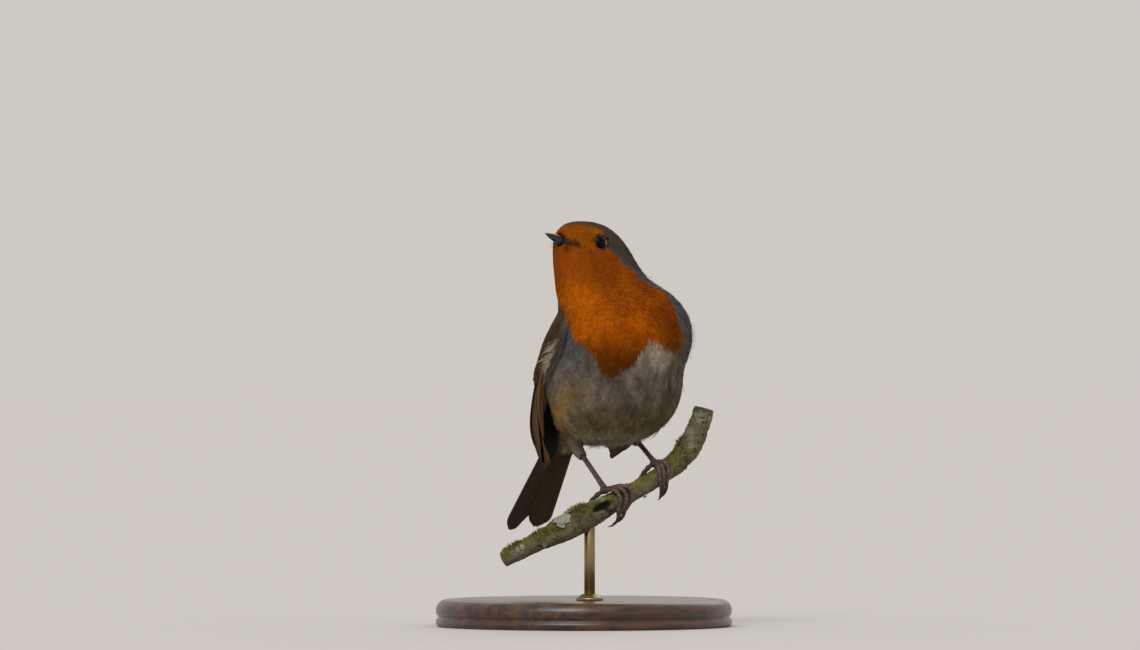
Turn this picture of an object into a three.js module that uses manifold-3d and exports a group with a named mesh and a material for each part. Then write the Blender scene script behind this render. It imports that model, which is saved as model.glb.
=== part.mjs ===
// A European robin (Erithacus rubecula) perched upright with its head turned over its right
// shoulder. It grips a cut length of twig, which one short rod holds above a round base.
//
// Millimetres, +Z up. The bird's breast faces -Y and its left side is +X. All of it is laid out
// in the perch's own frame, whose origin is on the floor below the middle of the two feet, and
// the last group moves that frame so that the base's middle is the part's origin.
//
// The feathered body is the smooth union of a few named ellipsoids. A curved axis runs down
// through them, and rings of rays from that axis end where they leave the union.
//
// Each piece is made by a function of one number, how far it is grown. A piece listed later
// gives way to the pieces before it: their shapes, grown by the gap, are cut out of it.

import * as THREE from 'three';
import { LoftGeometry } from 'three/addons/geometries/LoftGeometry.js';
import { mergeVertices } from 'three/addons/utils/BufferGeometryUtils.js';
import Module from 'manifold-3d';

const wasm = await Module();
wasm.setup();

const { degToRad, lerp, clamp } = THREE.MathUtils;
const vec = ( x, y, z ) => new THREE.Vector3( x, y, z );
const sum = ( ...vectors ) => vectors.reduce( ( total, one ) => total.add( one ), vec( 0, 0, 0 ) );
const by = ( vector, length ) => vector.clone().multiplyScalar( length );

// ---------------------------------------------------------------- driving dimensions

const GAP = 0.3; // between two pieces that touch
const FEET_PLAN = vec( 11, - 18, 0 ); // the middle of the feet, seen from the base's middle

const BODY_FACETS = 26;
const SOFTNESS = 2.6; // how far the body's ellipsoids run into each other

const SKULL = vec( - 15, 7, 138.9 );
const HEAD_TURN = degToRad( - 80 ); // about +Z, towards the bird's right
const HEAD_PITCH = degToRad( 20 ); // bill up

const EYE_PLACE = vec( 3.9, 0, 2.1 ); // forward and up of the skull's middle, before it is moved out to one side
const EYE_RADIUS = 2.75;
const EYE_INSET = 1.3; // the eye's middle below the face

const BILL_ROOT = 9; // forward of the skull's middle, inside the face
const BILL_TIP = 22.6;
const BILL_LEVEL = - 0.5; // the gape line, above the skull's middle
const BILL_WIDTH = 5.6;
const BILL_RISE = 2.6; // culmen above the gape line, at the root
const BILL_DROP = 2.9; // lower edge below it
const BILL_TIP_SHARE = 0.06; // of its root's width, left at the tip
const BILL_FULLNESS = 0.66; // a lower power keeps the bill wide for longer
const BILL_HOOK = 0.5; // the gape line's drop by the tip
const UNDERBITE = 0.7; // the lower half is this much shorter

const BODY_MIDDLE = - 3; // the bird leans this far to its right
const WING_THICKNESS = 3;
const FEATHER_THICKNESS = 0.7;

const TAIL_ROOT = vec( - 4.5, 36, 84 );
const TAIL_TIP = vec( - 8.5, 69, 35.5 );
const TAIL_WIDTHS = [ 10, 18.5 ];
const TAIL_NOTCH = 5.6;
const TAIL_ARCH = 1.6; // its edges lie this much lower than its middle
const TAIL_THICKNESS = 1.5;

const TARSUS_RADIUS = 0.95;
const TARSUS_SWELL = 0.35; // at the heel and the knuckle
const KNUCKLE_HEIGHT = 1.9; // above the twig's top
const PALM_RADIUS = 1.75;
const PALM_HEIGHT = 1.4;
const TOE_RADIUS = 0.95;
const TOE_CLEARANCE = 0.45; // from the plain bark, as real bark is uneven
const CLAW_RADIUS = 0.6;
const CLAW_BEND = 5;

const PERCH_HEADING = degToRad( - 15 ); // the twig's direction in plan, from +X

const ROD_ALONG = - 17; // along the twig from the middle of the feet
const ROD_RADIUS = 2;
const ROD_SOCKET = 3; // how far the rod enters the twig
const BASE_RADIUS = 55;
const BASE_HEIGHT = 10;
const COLLAR_RADIUS = 5;

// ---------------------------------------------------------------- solids

// A closed geometry as a manifold-3d solid.
function solidOf( geometry ) {

	const bare = new THREE.BufferGeometry().setAttribute( 'position', geometry.attributes.position );
	const merged = mergeVertices( bare.setIndex( geometry.index ), 1e-4 );
	return new wasm.Manifold( new wasm.Mesh( {
		numProp: 3,
		vertProperties: merged.attributes.position.array,
		triVerts: new Uint32Array( merged.index.array )
	} ) );

}

function geometryOf( solid ) {

	const { vertProperties, triVerts } = solid.getMesh();
	const geometry = new THREE.BufferGeometry();
	geometry.setAttribute( 'position', new THREE.BufferAttribute( vertProperties, 3 ) );
	geometry.setIndex( new THREE.BufferAttribute( triVerts, 1 ) );
	return geometry;

}

const loft = ( sections ) => new LoftGeometry( sections, { capStart: true, capEnd: true } );

// Evenly spaced numbers from 0 to 1.
const steps = ( count ) => Array.from( { length: count + 1 }, ( _, i ) => i / count );

// A closed ring of points round a middle, from a radius that may change with the angle.
function ring( facets, middle, across, along, radius ) {

	return Array.from( { length: facets }, ( _, i ) => {

		const angle = i / facets * 2 * Math.PI;
		const reach = radius( angle );
		return sum( middle, by( across, reach * Math.cos( angle ) ), by( along, reach * Math.sin( angle ) ) );

	} );

}

// A round bar along a curve, whose radius is a function of the way along it. Its rings are
// turned by a direction that the curve never takes.
function bar( curve, radius, aside, rings, facets ) {

	return loft( steps( rings ).map( ( t ) => {

		const tangent = curve.getTangent( t );
		const across = aside.clone().cross( tangent ).normalize();
		return ring( facets, curve.getPoint( t ), across, tangent.clone().cross( across ), () => radius( t ) );

	} ) );

}

// A sheet with an outer and an inner face, each a function of the way along and across it.
function sheet( outer, inner, rings, columns ) {

	return loft( steps( rings ).map( ( a ) => [
		...steps( columns ).map( ( b ) => outer( a, b ) ),
		...steps( columns ).reverse().map( ( b ) => inner( a, b ) )
	] ) );

}

// A smooth curve through points; a number list read the same way gives a smooth value.
const curveOf = ( points ) => new THREE.CatmullRomCurve3( points, false, 'catmullrom', 0.5 );
const valueOf = ( numbers ) => {

	const curve = curveOf( numbers.map( ( number ) => vec( number, 0, 0 ) ) );
	return ( t ) => curve.getPoint( t ).x;

};

// ---------------------------------------------------------------- body

// The head's own directions: forward along the bill, to the bird's left, and up.
const headTurn = new THREE.Quaternion().setFromAxisAngle( vec( 0, 0, 1 ), HEAD_TURN );
headTurn.multiply( new THREE.Quaternion().setFromAxisAngle( vec( 1, 0, 0 ), - HEAD_PITCH ) );
const FORWARD = vec( 0, - 1, 0 ).applyQuaternion( headTurn );
const LEFT = vec( 1, 0, 0 ).applyQuaternion( headTurn );
const UP = vec( 0, 0, 1 ).applyQuaternion( headTurn );
const onHead = ( f, l, u ) => sum( SKULL, by( FORWARD, f ), by( LEFT, l ), by( UP, u ) );

// An ellipsoid of the head: its middle and radii are forward, left and up from the skull.
const headMass = ( f, l, u, rf, rl, ru ) => ( { middle: onHead( f, l, u ), axes: [ FORWARD, LEFT, UP ], radii: [ rf, rl, ru ] } );

// An ellipsoid of the trunk: its third radius leans back from upright by a number of degrees.
function trunkMass( x, y, z, rx, ry, rz, lean = 0 ) {

	const tilt = new THREE.Quaternion().setFromAxisAngle( vec( 1, 0, 0 ), degToRad( lean ) );
	const axes = [ vec( 1, 0, 0 ), vec( 0, 1, 0 ), vec( 0, 0, 1 ) ].map( ( axis ) => axis.applyQuaternion( tilt ) );
	return { middle: vec( x, y, z ), axes, radii: [ rx, ry, rz ] };

}

const MASSES = [
	headMass( - 1.5, 0, 0, 9.4, 7.8, 9.8 ), // skull
	headMass( - 8, 0, - 1.8, 9, 8, 9.4 ), // nape
	headMass( 3.6, 4.2, 3.2, 6, 2.4, 3 ), // left brow
	headMass( 3.6, - 4.2, 3.2, 6, 2.4, 3 ), // right brow
	headMass( 6.6, 0, - 1.6, 5.4, 4.4, 4.4 ), // face, round the bill's root
	headMass( 6.6, 0, 2, 6.2, 5.4, 4 ), // forehead
	headMass( 1.4, 3.4, - 4.6, 6.8, 4.6, 5.6 ), // left cheek
	headMass( 1.4, - 3.4, - 4.6, 6.8, 4.6, 5.6 ), // right cheek
	trunkMass( - 17.5, 6, 127, 10.6, 9.4, 14 ), // throat, below the bill
	trunkMass( - 7, 7, 125, 13, 13, 14 ), // neck
	trunkMass( - 1.2, 1, 108, 25, 18.8, 20.5 ), // breast
	trunkMass( BODY_MIDDLE, 12, 110, 20, 14, 19, 15 ), // mantle
	trunkMass( - 3, 9, 89.5, 26.8, 20.4, 22.4 ), // belly
	trunkMass( BODY_MIDDLE, 19, 92, 18, 13, 18, 12 ), // back
	trunkMass( - 5, 24, 80, 16, 14, 12.5 ), // vent
	trunkMass( - 5, 37, 75, 7.5, 4.6, 15, 34 ) // tail coverts
];

// How far a point lies outside the union of the masses; less than nothing inside it.
function outside( point ) {

	const total = MASSES.reduce( ( left, { middle, axes, radii } ) => {

		const away = point.clone().sub( middle );
		const scaled = axes.map( ( axis, i ) => away.dot( axis ) / radii[ i ] );
		const reach = Math.hypot( ...scaled );
		const slope = Math.hypot( ...scaled.map( ( part, i ) => part / radii[ i ] ) );
		return left + Math.exp( - reach * ( reach - 1 ) / slope / SOFTNESS );

	}, 0 );
	return - SOFTNESS * Math.log( total );

}

// The point where a ray from inside the body meets the surface that lies grow outside it.
function skinPoint( from, direction, grow ) {

	let [ near, far ] = [ 0, 60 ];
	for ( let i = 0; i < 24; i ++ ) {

		const middle = ( near + far ) / 2;
		if ( outside( sum( from, by( direction, middle ) ) ) < grow ) near = middle;
		else far = middle;

	}

	return sum( from, by( direction, near ) );

}

const BODY_AXIS = curveOf( [
	vec( - 14.5, 7, 140.5 ), vec( - 12, 6.5, 130 ), vec( - 6, 5.5, 118 ), vec( - 3, 6, 104 ),
	vec( - 3, 11, 90 ), vec( - 3.5, 20, 80 ), vec( - 4.5, 31, 73 ), vec( - 5, 42, 64 )
] );

// A ring of the body. The station runs from 0 at the crown to 1 at the tail's root: the rays
// point up at the crown, level out by the first turn and point down the tail after the last.
const TURNS = [ 0.2, 0.93 ];
const AXIS_START = 0.1;
function bodyRing( station, grow ) {

	const t = clamp( ( station - AXIS_START ) / ( TURNS[ 1 ] - AXIS_START ), 0, 1 );
	const rise = station < TURNS[ 0 ] ? 1 - station / TURNS[ 0 ] : Math.min( 0, ( TURNS[ 1 ] - station ) / ( 1 - TURNS[ 1 ] ) );
	const lift = rise * Math.PI / 2;
	const up = BODY_AXIS.getTangent( t ).negate();
	const front = vec( 0, - 1, 0 ).addScaledVector( up, up.y ).normalize();
	const right = front.clone().cross( up );
	const from = BODY_AXIS.getPoint( t );
	return ring( BODY_FACETS, vec( 0, 0, 0 ), front, right, () => Math.cos( lift ) )
		.map( ( level ) => skinPoint( from, level.addScaledVector( up, Math.sin( lift ) ), grow ) );

}

// A length of the body between two stations, a gap short of each neighbour.
const STATION_GAP = 0.0016;
const bodyPiece = ( start, end, rings ) => ( grow ) => {

	const first = start === 0 ? 0.012 : start + ( grow > 0 ? - STATION_GAP : STATION_GAP );
	const last = end === 1 ? 0.985 : end + ( grow > 0 ? STATION_GAP : - STATION_GAP );
	return loft( steps( rings ).map( ( k ) => bodyRing( lerp( first, last, k ), grow ) ) );

};

// ---------------------------------------------------------------- head pieces

const eye = ( side ) => ( grow ) => {

	const outwards = by( LEFT, side );
	const middle = skinPoint( onHead( ...EYE_PLACE ), outwards, - EYE_INSET );
	return new THREE.SphereGeometry( EYE_RADIUS + grow, 10, 8 ).translate( ...middle );

};

// One half of the bill: an arch on one side of the gape line, tapering to a point.
const billHalf = ( side, height, tip ) => ( grow ) => {

	const arch = steps( 8 ).map( ( k ) => Math.PI * k );
	const sections = steps( 8 ).map( ( k ) => {

		const taper = lerp( BILL_TIP_SHARE, 1, Math.pow( 1 - k, BILL_FULLNESS ) );
		const f = lerp( BILL_ROOT - grow, tip + grow, k );
		const droop = BILL_LEVEL - BILL_HOOK * k * k;
		return arch.map( ( angle ) => {

			const l = Math.cos( angle ) * ( BILL_WIDTH / 2 * taper + grow );
			const u = Math.sin( angle ) * ( height * taper + 2 * grow ) + GAP / 2 - grow;
			return onHead( f, l, side * u + droop );

		} );

	} );
	return loft( side > 0 ? sections : sections.map( ( section ) => section.reverse() ) );

};

// ---------------------------------------------------------------- wings and tail

// The folded right wing: its leading edge runs down beside the flank, its trailing edge down
// the back, and between them it swells outwards round the body.
const LEADING = curveOf( [ vec( - 25, 5, 116 ), vec( - 28.8, 12, 103 ), vec( - 29.6, 18.5, 86 ), vec( - 26.6, 21, 70.5 ), vec( - 20, 30, 57.5 ) ] );
const TRAILING = curveOf( [ vec( - 16, 23.5, 117 ), vec( - 10.5, 32, 104 ), vec( - 7.5, 37.5, 90 ), vec( - 9, 41, 76 ), vec( - 16, 38, 58.5 ) ] );
const SWELL = valueOf( [ 3, 5.4, 7.2, 8, 2.2 ] );
const LEFT_WING_LIFT = 4.3; // the left wing's tip is held this much higher
const LEFT_WING_TUCK = 4.5; // and this much nearer the tail

function wingPoint( p, q, depth ) {

	const [ lead, trail ] = [ LEADING.getPoint( p ), TRAILING.getPoint( p ) ];
	const across = trail.clone().sub( lead );
	const along = LEADING.getTangent( p ).add( TRAILING.getTangent( p ) );
	const outward = across.clone().cross( along ).normalize();
	return lead.lerp( trail, q ).addScaledVector( outward, SWELL( p ) * Math.sqrt( 4 * q * ( 1 - q ) ) - depth );

}

// The part of a wing between two ways down it and two ways across it, on one side of the bird.
const wingPiece = ( side, [ p0, p1 ], [ q0, q1 ], rings, columns ) => ( grow ) => {

	const at = ( inner ) => ( a, b ) => {

		const p = lerp( p0, p1, a );
		const q = lerp( q0, q1, b );
		const thickness = lerp( WING_THICKNESS, FEATHER_THICKNESS, Math.min( 1, p * 1.5 ) );
		const point = wingPoint( p, q, inner ? thickness + grow : - grow );
		return side > 0 ? vec( 2 * BODY_MIDDLE - point.x - LEFT_WING_TUCK * p, point.y, point.z + LEFT_WING_LIFT * p ) : point;

	};

	return side > 0 ? sheet( at( true ), at( false ), rings, columns ) : sheet( at( false ), at( true ), rings, columns );

};

// The closed tail: a thin arched blade that widens to a shallow notch.
const tail = ( grow ) => {

	const along = TAIL_TIP.clone().sub( TAIL_ROOT );
	const across = vec( 1, 0, 0 ).cross( along ).cross( along ).negate().normalize();
	const top = across.clone().cross( along ).normalize();
	const face = ( depth ) => ( a, b ) => {

		const side = 2 * b - 1;
		const length = 1 - TAIL_NOTCH / along.length() * ( 1 - Math.pow( Math.abs( side ), 1.5 ) ) - 0.02 * Math.pow( side, 12 );
		const width = lerp( ...TAIL_WIDTHS, Math.pow( a, 0.8 ) ) / 2 + grow;
		const arch = - TAIL_ARCH * side * side * ( 1 - 0.5 * a );
		return sum( TAIL_ROOT, by( along, a * length ), by( across, side * width ), by( top, arch - depth ) );

	};

	return sheet( face( - grow ), face( TAIL_THICKNESS + grow ), 5, 10 );

};

// ---------------------------------------------------------------- perch

// The twig rises to the bird's left, steeply at its end. Each entry is the way along it in
// plan, its height, and its radius there.
const TWIG = [
	[ - 50, 25.5, 3.1 ], [ - 40, 30.2, 3.2 ], [ - 30, 35, 4.2 ], [ - 20, 40, 4.9 ], [ - 10, 45.1, 4 ],
	[ 0, 50.2, 3.4 ], [ 8, 54.9, 3.5 ], [ 16, 60.6, 4.1 ], [ 22, 67.8, 4.4 ], [ 25.6, 76, 4.1 ], [ 27, 81, 3.9 ]
];
const TWIG_LINE = curveOf( TWIG.map( ( [ along, height ] ) => vec( along * Math.cos( PERCH_HEADING ), along * Math.sin( PERCH_HEADING ), height ) ) );
const TWIG_RADIUS = valueOf( TWIG.map( ( [ , , radius ] ) => radius ) );

// How far down the twig's curve a way along it in plan lies.
function twigAt( along ) {

	let i = TWIG.findIndex( ( [ end ] ) => end > along );
	if ( i < 1 ) i = TWIG.length - 1;
	return ( i - 1 + ( along - TWIG[ i - 1 ][ 0 ] ) / ( TWIG[ i ][ 0 ] - TWIG[ i - 1 ][ 0 ] ) ) / ( TWIG.length - 1 );

}

const perch = ( grow ) => bar( TWIG_LINE, ( t ) => TWIG_RADIUS( t ) + grow, vec( 0, 1, 0 ), 18, 10 );

// ---------------------------------------------------------------- legs

// Each leg: where its heel hides in the thigh's feathers, how far along the twig it stands, and
// the headings of its toes in plan, in degrees from straight ahead towards the bird's left.
const LEGS = {
	right: { heel: vec( - 14, 22, 69 ), thigh: vec( - 13.2, 17.6, 69.6 ), along: - 11.2, toes: { inner: 44, middle: 36, outer: 24, hind: - 150 } },
	left: { heel: vec( 11.5, 23.5, 72 ), thigh: vec( 10.5, 18, 75 ), along: 8, toes: { inner: - 8, middle: 9, outer: 24, hind: - 150 } }
};
const THIGH_RADII = [ 4.8, 5.8, 6.4 ];
const TOE_WRAP = { inner: 98, middle: 112, outer: 102, hind: 92 }; // degrees over the twig
const CLAW_CURL = 1.5; // radians
const CLAW_SPLAY = 0.8; // a claw sets off this far outwards of its toe, so that it hangs clear

const thigh = ( leg ) => ( grow ) => new THREE.SphereGeometry( 1, 10, 7 )
	.scale( ...THIGH_RADII.map( ( radius ) => radius + grow ) ).translate( ...leg.thigh );

// The top of the twig below a leg, raised by a height.
function footPoint( leg, height ) {

	const t = twigAt( leg.along );
	return TWIG_LINE.getPoint( t ).add( vec( 0, 0, TWIG_RADIUS( t ) * 1.2 + height ) );

}

const tarsus = ( leg ) => ( grow ) => {

	const knuckle = footPoint( leg, KNUCKLE_HEIGHT );
	const middle = leg.heel.clone().lerp( knuckle, 0.5 ).add( vec( 0, 0.4, 0.5 ) );
	const radius = ( t ) => TARSUS_RADIUS + TARSUS_SWELL * Math.pow( 2 * t - 1, 4 ) + grow;
	return bar( curveOf( [ leg.heel, middle, knuckle ] ), radius, vec( 1, 0, 0 ), 6, 8 );

};

const foot = ( leg ) => ( grow ) => new THREE.SphereGeometry( PALM_RADIUS + grow, 9, 6 )
	.scale( 1, 1.1, 0.85 ).translate( ...footPoint( leg, PALM_HEIGHT ) );

// A toe lies on the twig in an upright plane. At each angle from the top, it is as far from
// the twig's middle as puts its own middle one toe radius outside the bark.
function toeCurve( leg, heading, wrap ) {

	const t = twigAt( leg.along );
	const [ middle, axis ] = [ TWIG_LINE.getPoint( t ), TWIG_LINE.getTangent( t ) ];
	const ahead = vec( Math.sin( degToRad( heading ) ), - Math.cos( degToRad( heading ) ), 0 );
	const on = ( angle ) => {

		const out = sum( by( ahead, Math.sin( angle ) ), vec( 0, 0, Math.cos( angle ) ) );
		const reach = ( TWIG_RADIUS( t ) + TOE_RADIUS + TOE_CLEARANCE ) / Math.sqrt( 1 - out.dot( axis ) ** 2 );
		return sum( middle, by( out, reach ) );

	};

	const side = vec( 0, 0, 1 ).cross( ahead );
	return { on, side, curve: curveOf( steps( 5 ).map( ( k ) => on( degToRad( lerp( 8, wrap, k ) ) ) ) ) };

}

const toe = ( leg, name ) => ( grow ) => {

	const { curve, side } = toeCurve( leg, leg.toes[ name ], TOE_WRAP[ name ] );
	const knuckles = ( t ) => 0.1 * Math.cos( t * 3 * 2 * Math.PI ) - 0.15 * t;
	return bar( curve, ( t ) => TOE_RADIUS + knuckles( t ) + grow, side, 5, 6 );

};

// A claw goes on from its toe's end on an arc of its own, and tapers to a point.
const claw = ( leg, name ) => ( grow ) => {

	const wrap = degToRad( TOE_WRAP[ name ] );
	const { on, side } = toeCurve( leg, leg.toes[ name ], TOE_WRAP[ name ] );
	const end = on( wrap );
	const onward = on( wrap + 0.02 ).sub( on( wrap - 0.02 ) ).normalize().applyAxisAngle( side, - CLAW_SPLAY );
	const inward = side.clone().cross( onward );
	const arc = steps( 6 ).map( ( k ) => {

		const turn = k * CLAW_CURL;
		return sum( end, by( onward, GAP + CLAW_BEND * Math.sin( turn ) ), by( inward, CLAW_BEND * ( 1 - Math.cos( turn ) ) ) );

	} );
	return bar( curveOf( arc ), ( t ) => CLAW_RADIUS * ( 1 - 0.85 * t ) + grow, side, 5, 6 );

};

// ---------------------------------------------------------------- stand

const rodMiddle = TWIG_LINE.getPoint( twigAt( ROD_ALONG ) );
const rodTop = rodMiddle.z - TWIG_RADIUS( twigAt( ROD_ALONG ) ) * 1.1 + ROD_SOCKET;
const ROD_FOOT = 3; // above the floor, in the base's blind hole

const rod = ( grow ) => {

	const length = rodTop - ROD_FOOT + 2 * grow;
	return new THREE.CylinderGeometry( ROD_RADIUS + grow, ROD_RADIUS + grow, length, 14 )
		.rotateX( Math.PI / 2 ).translate( rodMiddle.x, rodMiddle.y, ROD_FOOT - grow + length / 2 );

};

const lathe = ( profile, facets ) => new THREE.LatheGeometry( profile.map( ( pair ) => new THREE.Vector2( ...pair ) ), facets )
	.rotateX( Math.PI / 2 );

const base = () => {

	const lip = [ [ BASE_RADIUS - 1.2, 0 ], [ BASE_RADIUS, 1.2 ] ];
	const moulding = steps( 3 ).map( ( k ) => Math.PI / 2 * k )
		.map( ( angle ) => [ BASE_RADIUS - 4 + 4 * Math.cos( angle ), BASE_HEIGHT - 4 + 4 * Math.sin( angle ) ] );
	return lathe( [ [ 0, 0 ], ...lip, ...moulding, [ 0, BASE_HEIGHT ] ], 36 ).translate( ...by( FEET_PLAN, - 1 ) );

};

const collar = () => {

	const low = BASE_HEIGHT + GAP;
	const profile = [ [ 0, low ], [ COLLAR_RADIUS, low ], [ COLLAR_RADIUS, low + 1 ], [ COLLAR_RADIUS - 1.4, low + 2.2 ], [ 0, low + 2.2 ] ];
	return lathe( profile, 16 ).translate( rodMiddle.x, rodMiddle.y, 0 );

};

// ---------------------------------------------------------------- materials

const paint = ( color, roughness, metalness = 0 ) => new THREE.MeshStandardMaterial( { color, roughness, metalness } );
const MATERIALS = {
	rustFeathers: paint( 0xb4561c, 0.85 ),
	greyFeathers: paint( 0x74757a, 0.85 ),
	bellyFeathers: paint( 0xb9b2a4, 0.85 ),
	brownFeathers: paint( 0x5f4c3a, 0.8 ),
	horn: paint( 0x25232a, 0.4 ),
	eye: paint( 0x0c0a0b, 0.08 ),
	scales: paint( 0x6a443c, 0.55 ),
	claw: paint( 0x2b201d, 0.4 ),
	bark: paint( 0x6a6a44, 0.95 ),
	rod: paint( 0xa88a4e, 0.3, 1 ),
	wood: paint( 0x4a3222, 0.45 )
};

// ---------------------------------------------------------------- the part

const pieces = [];
const add = ( name, material, make, family = name ) => pieces.push( { name, material: MATERIALS[ material ], make, family } );

add( 'stand_rod', 'rod', rod );
add( 'stand_base', 'wood', base );
add( 'stand_collar', 'rod', collar );
add( 'perch', 'bark', perch );

for ( const [ side, leg ] of Object.entries( LEGS ) ) {

	add( `tarsus_${ side }`, 'scales', tarsus( leg ) );
	add( `foot_${ side }`, 'scales', foot( leg ) );
	for ( const name of Object.keys( leg.toes ) ) add( `toe_${ name }_${ side }`, 'scales', toe( leg, name ) );
	for ( const name of Object.keys( leg.toes ) ) add( `claw_${ name }_${ side }`, 'claw', claw( leg, name ) );
	add( `thigh_${ side }`, 'bellyFeathers', thigh( leg ) );

}

add( 'eye_left', 'eye', eye( 1 ) );
add( 'eye_right', 'eye', eye( - 1 ) );
add( 'bill_upper', 'horn', billHalf( 1, BILL_RISE, BILL_TIP ), 'bill' );
add( 'bill_lower', 'horn', billHalf( - 1, BILL_DROP, BILL_TIP - UNDERBITE ), 'bill' );
add( 'tail', 'brownFeathers', tail );

add( 'head', 'rustFeathers', bodyPiece( 0, 0.22, 10 ), 'body' );
add( 'neck', 'rustFeathers', bodyPiece( 0.22, 0.36, 4 ), 'body' );
add( 'breast', 'rustFeathers', bodyPiece( 0.36, 0.54, 5 ), 'body' );
add( 'belly', 'bellyFeathers', bodyPiece( 0.54, 0.74, 6 ), 'body' );
add( 'rump', 'greyFeathers', bodyPiece( 0.74, 1, 8 ), 'body' );

for ( const [ name, side ] of [ [ 'right', - 1 ], [ 'left', 1 ] ] ) {

	add( `wing_${ name }`, 'brownFeathers', wingPiece( side, [ 0, 0.44 ], [ 0, 1 ], 4, 7 ) );
	add( `secondaries_${ name }`, 'brownFeathers', wingPiece( side, [ 0.45, 0.84 ], [ 0.5, 1 ], 4, 5 ) );
	add( `primaries_${ name }`, 'brownFeathers', wingPiece( side, [ 0.45, 1 ], [ 0, 0.48 ], 6, 5 ) );

}

const robin = new THREE.Group();
robin.position.copy( FEET_PLAN );

const made = [];
for ( const { name, material, make, family } of pieces ) {

	let solid = solidOf( make( 0 ) );
	const box = new THREE.Box3().setFromBufferAttribute( make( 0 ).attributes.position );
	for ( const other of made ) {

		if ( other.family !== family && other.box.intersectsBox( box ) ) solid = solid.subtract( other.grown );

	}

	const grown = solidOf( make( GAP ) );
	made.push( { family, grown, box: box.clone().expandByScalar( GAP ) } );
	const mesh = new THREE.Mesh( geometryOf( solid ), material );
	mesh.name = name;
	robin.add( mesh );

}

const group = new THREE.Group();
group.add( robin );

export default group;
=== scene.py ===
# A European robin (Erithacus rubecula) as a life-size museum model: one skin under layered
# feathers, folded wings and tail of separate quills, scaled feet on a mossy cut twig, and a
# turned wooden stand with a brass rod.
#
# Shapes are worked out in millimetres in the perch's own frame: the bird's breast faces -Y, its
# left side is +X, up is +Z, and the origin is on the floor below the middle of the two feet.
# place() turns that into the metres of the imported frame.
import math
import bpy
import numpy as np
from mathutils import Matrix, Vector


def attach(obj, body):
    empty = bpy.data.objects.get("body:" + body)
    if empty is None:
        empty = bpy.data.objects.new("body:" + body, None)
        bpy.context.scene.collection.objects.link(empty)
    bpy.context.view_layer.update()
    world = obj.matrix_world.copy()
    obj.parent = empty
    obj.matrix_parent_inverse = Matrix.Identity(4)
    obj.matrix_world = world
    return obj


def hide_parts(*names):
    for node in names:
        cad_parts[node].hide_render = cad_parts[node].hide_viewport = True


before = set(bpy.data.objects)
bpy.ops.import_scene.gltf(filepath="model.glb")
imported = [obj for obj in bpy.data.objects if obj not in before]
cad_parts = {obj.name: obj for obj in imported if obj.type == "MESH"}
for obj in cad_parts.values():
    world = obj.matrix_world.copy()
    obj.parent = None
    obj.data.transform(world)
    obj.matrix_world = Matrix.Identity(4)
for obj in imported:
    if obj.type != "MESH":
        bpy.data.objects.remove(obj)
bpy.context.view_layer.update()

MM = 0.001
FEET_PLAN = np.array((11.0, -18.0, 0.0))  # the middle of the feet, seen from the base's middle
BODY = "root"
UPRIGHT = np.array((0, 0, 1.0))
chance = np.random.default_rng(1887)

# ---------------------------------------------------------------- numbers


def unit(v):
    """Each vector divided by its length."""
    return v / np.maximum(np.linalg.norm(v, axis=-1, keepdims=True), 1e-12)


def dot(a, b):
    """The scalar product over the last axis."""
    return (a * b).sum(-1)


def gap(a, b):
    """The distance from each point a to its point b."""
    return np.linalg.norm(a - b, axis=-1)


def lerp(a, b, t):
    """In a straight line from a, at t = 0, to b, at t = 1."""
    return a + (b - a) * t


def ramp(x, low, high):
    """A smooth step: 0 below low, 1 above high, 3t^2 - 2t^3 between them."""
    t = np.clip((x - low) / (high - low), 0, 1)
    return t * t * (3 - 2 * t)


def bell(x, middle, width):
    """exp(-d^2), where d is the distance from the middle in widths."""
    return np.exp(-(((x - middle) / width) ** 2))


def circle(count):
    """Equal angles round a whole turn."""
    return np.arange(count) / count * 2 * np.pi


def along(knots, t):
    """A uniform Catmull-Rom curve through the knots at t from 0 to 1; each end knot's missing
    neighbour is the end knot carried on by its own last step."""
    k = np.asarray(knots, float)
    k = np.concatenate([2 * k[:1] - k[1:2], k, 2 * k[-1:] - k[-2:-1]])
    x = np.clip(t, 0, 1) * (len(knots) - 1)
    i = np.minimum(np.floor(x).astype(int), len(knots) - 2)
    w = x - i
    a, b, c, d = k[i], k[i + 1], k[i + 2], k[i + 3]
    if k.ndim > 1:
        w = w[..., None]
    return 0.5 * (2 * b + (c - a) * w + (2 * a - 5 * b + 4 * c - d) * w**2
                  + (3 * b - a - 3 * c + d) * w**3)


def heading(knots, t):
    """The direction of the same curve, from two points close on each side."""
    t = np.asarray(t, float)
    return unit(along(knots, np.clip(t + 1e-4, 0, 1)) - along(knots, np.clip(t - 1e-4, 0, 1)))


def noise(points, size, seed=0):
    """Value noise from 0 to 1: each corner of a lattice of cells of that size has its own random
    number, hashed from its place, and a point takes the smooth mixture of its cell's corners."""
    q = np.asarray(points, float) / size
    cell = np.floor(q).astype(np.int64)
    w = q - cell
    w = w * w * (3 - 2 * w)
    total = np.zeros(q.shape[:-1])
    for corner in np.ndindex(2, 2, 2):
        c = cell + np.array(corner)
        h = (c[..., 0] * 73856093) ^ (c[..., 1] * 19349663) ^ (c[..., 2] * 83492791)
        h = h ^ (seed * 2654435761 + 97)
        h = (h ^ (h >> 13)) * 1274126177
        value = ((h ^ (h >> 16)) & 0xFFFF) / 65535.0
        total += value * np.prod(np.where(np.array(corner) == 1, w, 1 - w), -1)
    return total


def linear(code):
    """An sRGB hex colour as linear red, green and blue."""
    c = np.array([int(code[i : i + 2], 16) / 255 for i in (1, 3, 5)])
    return np.where(c <= 0.04045, c / 12.92, ((c + 0.055) / 1.055) ** 2.4)


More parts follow.
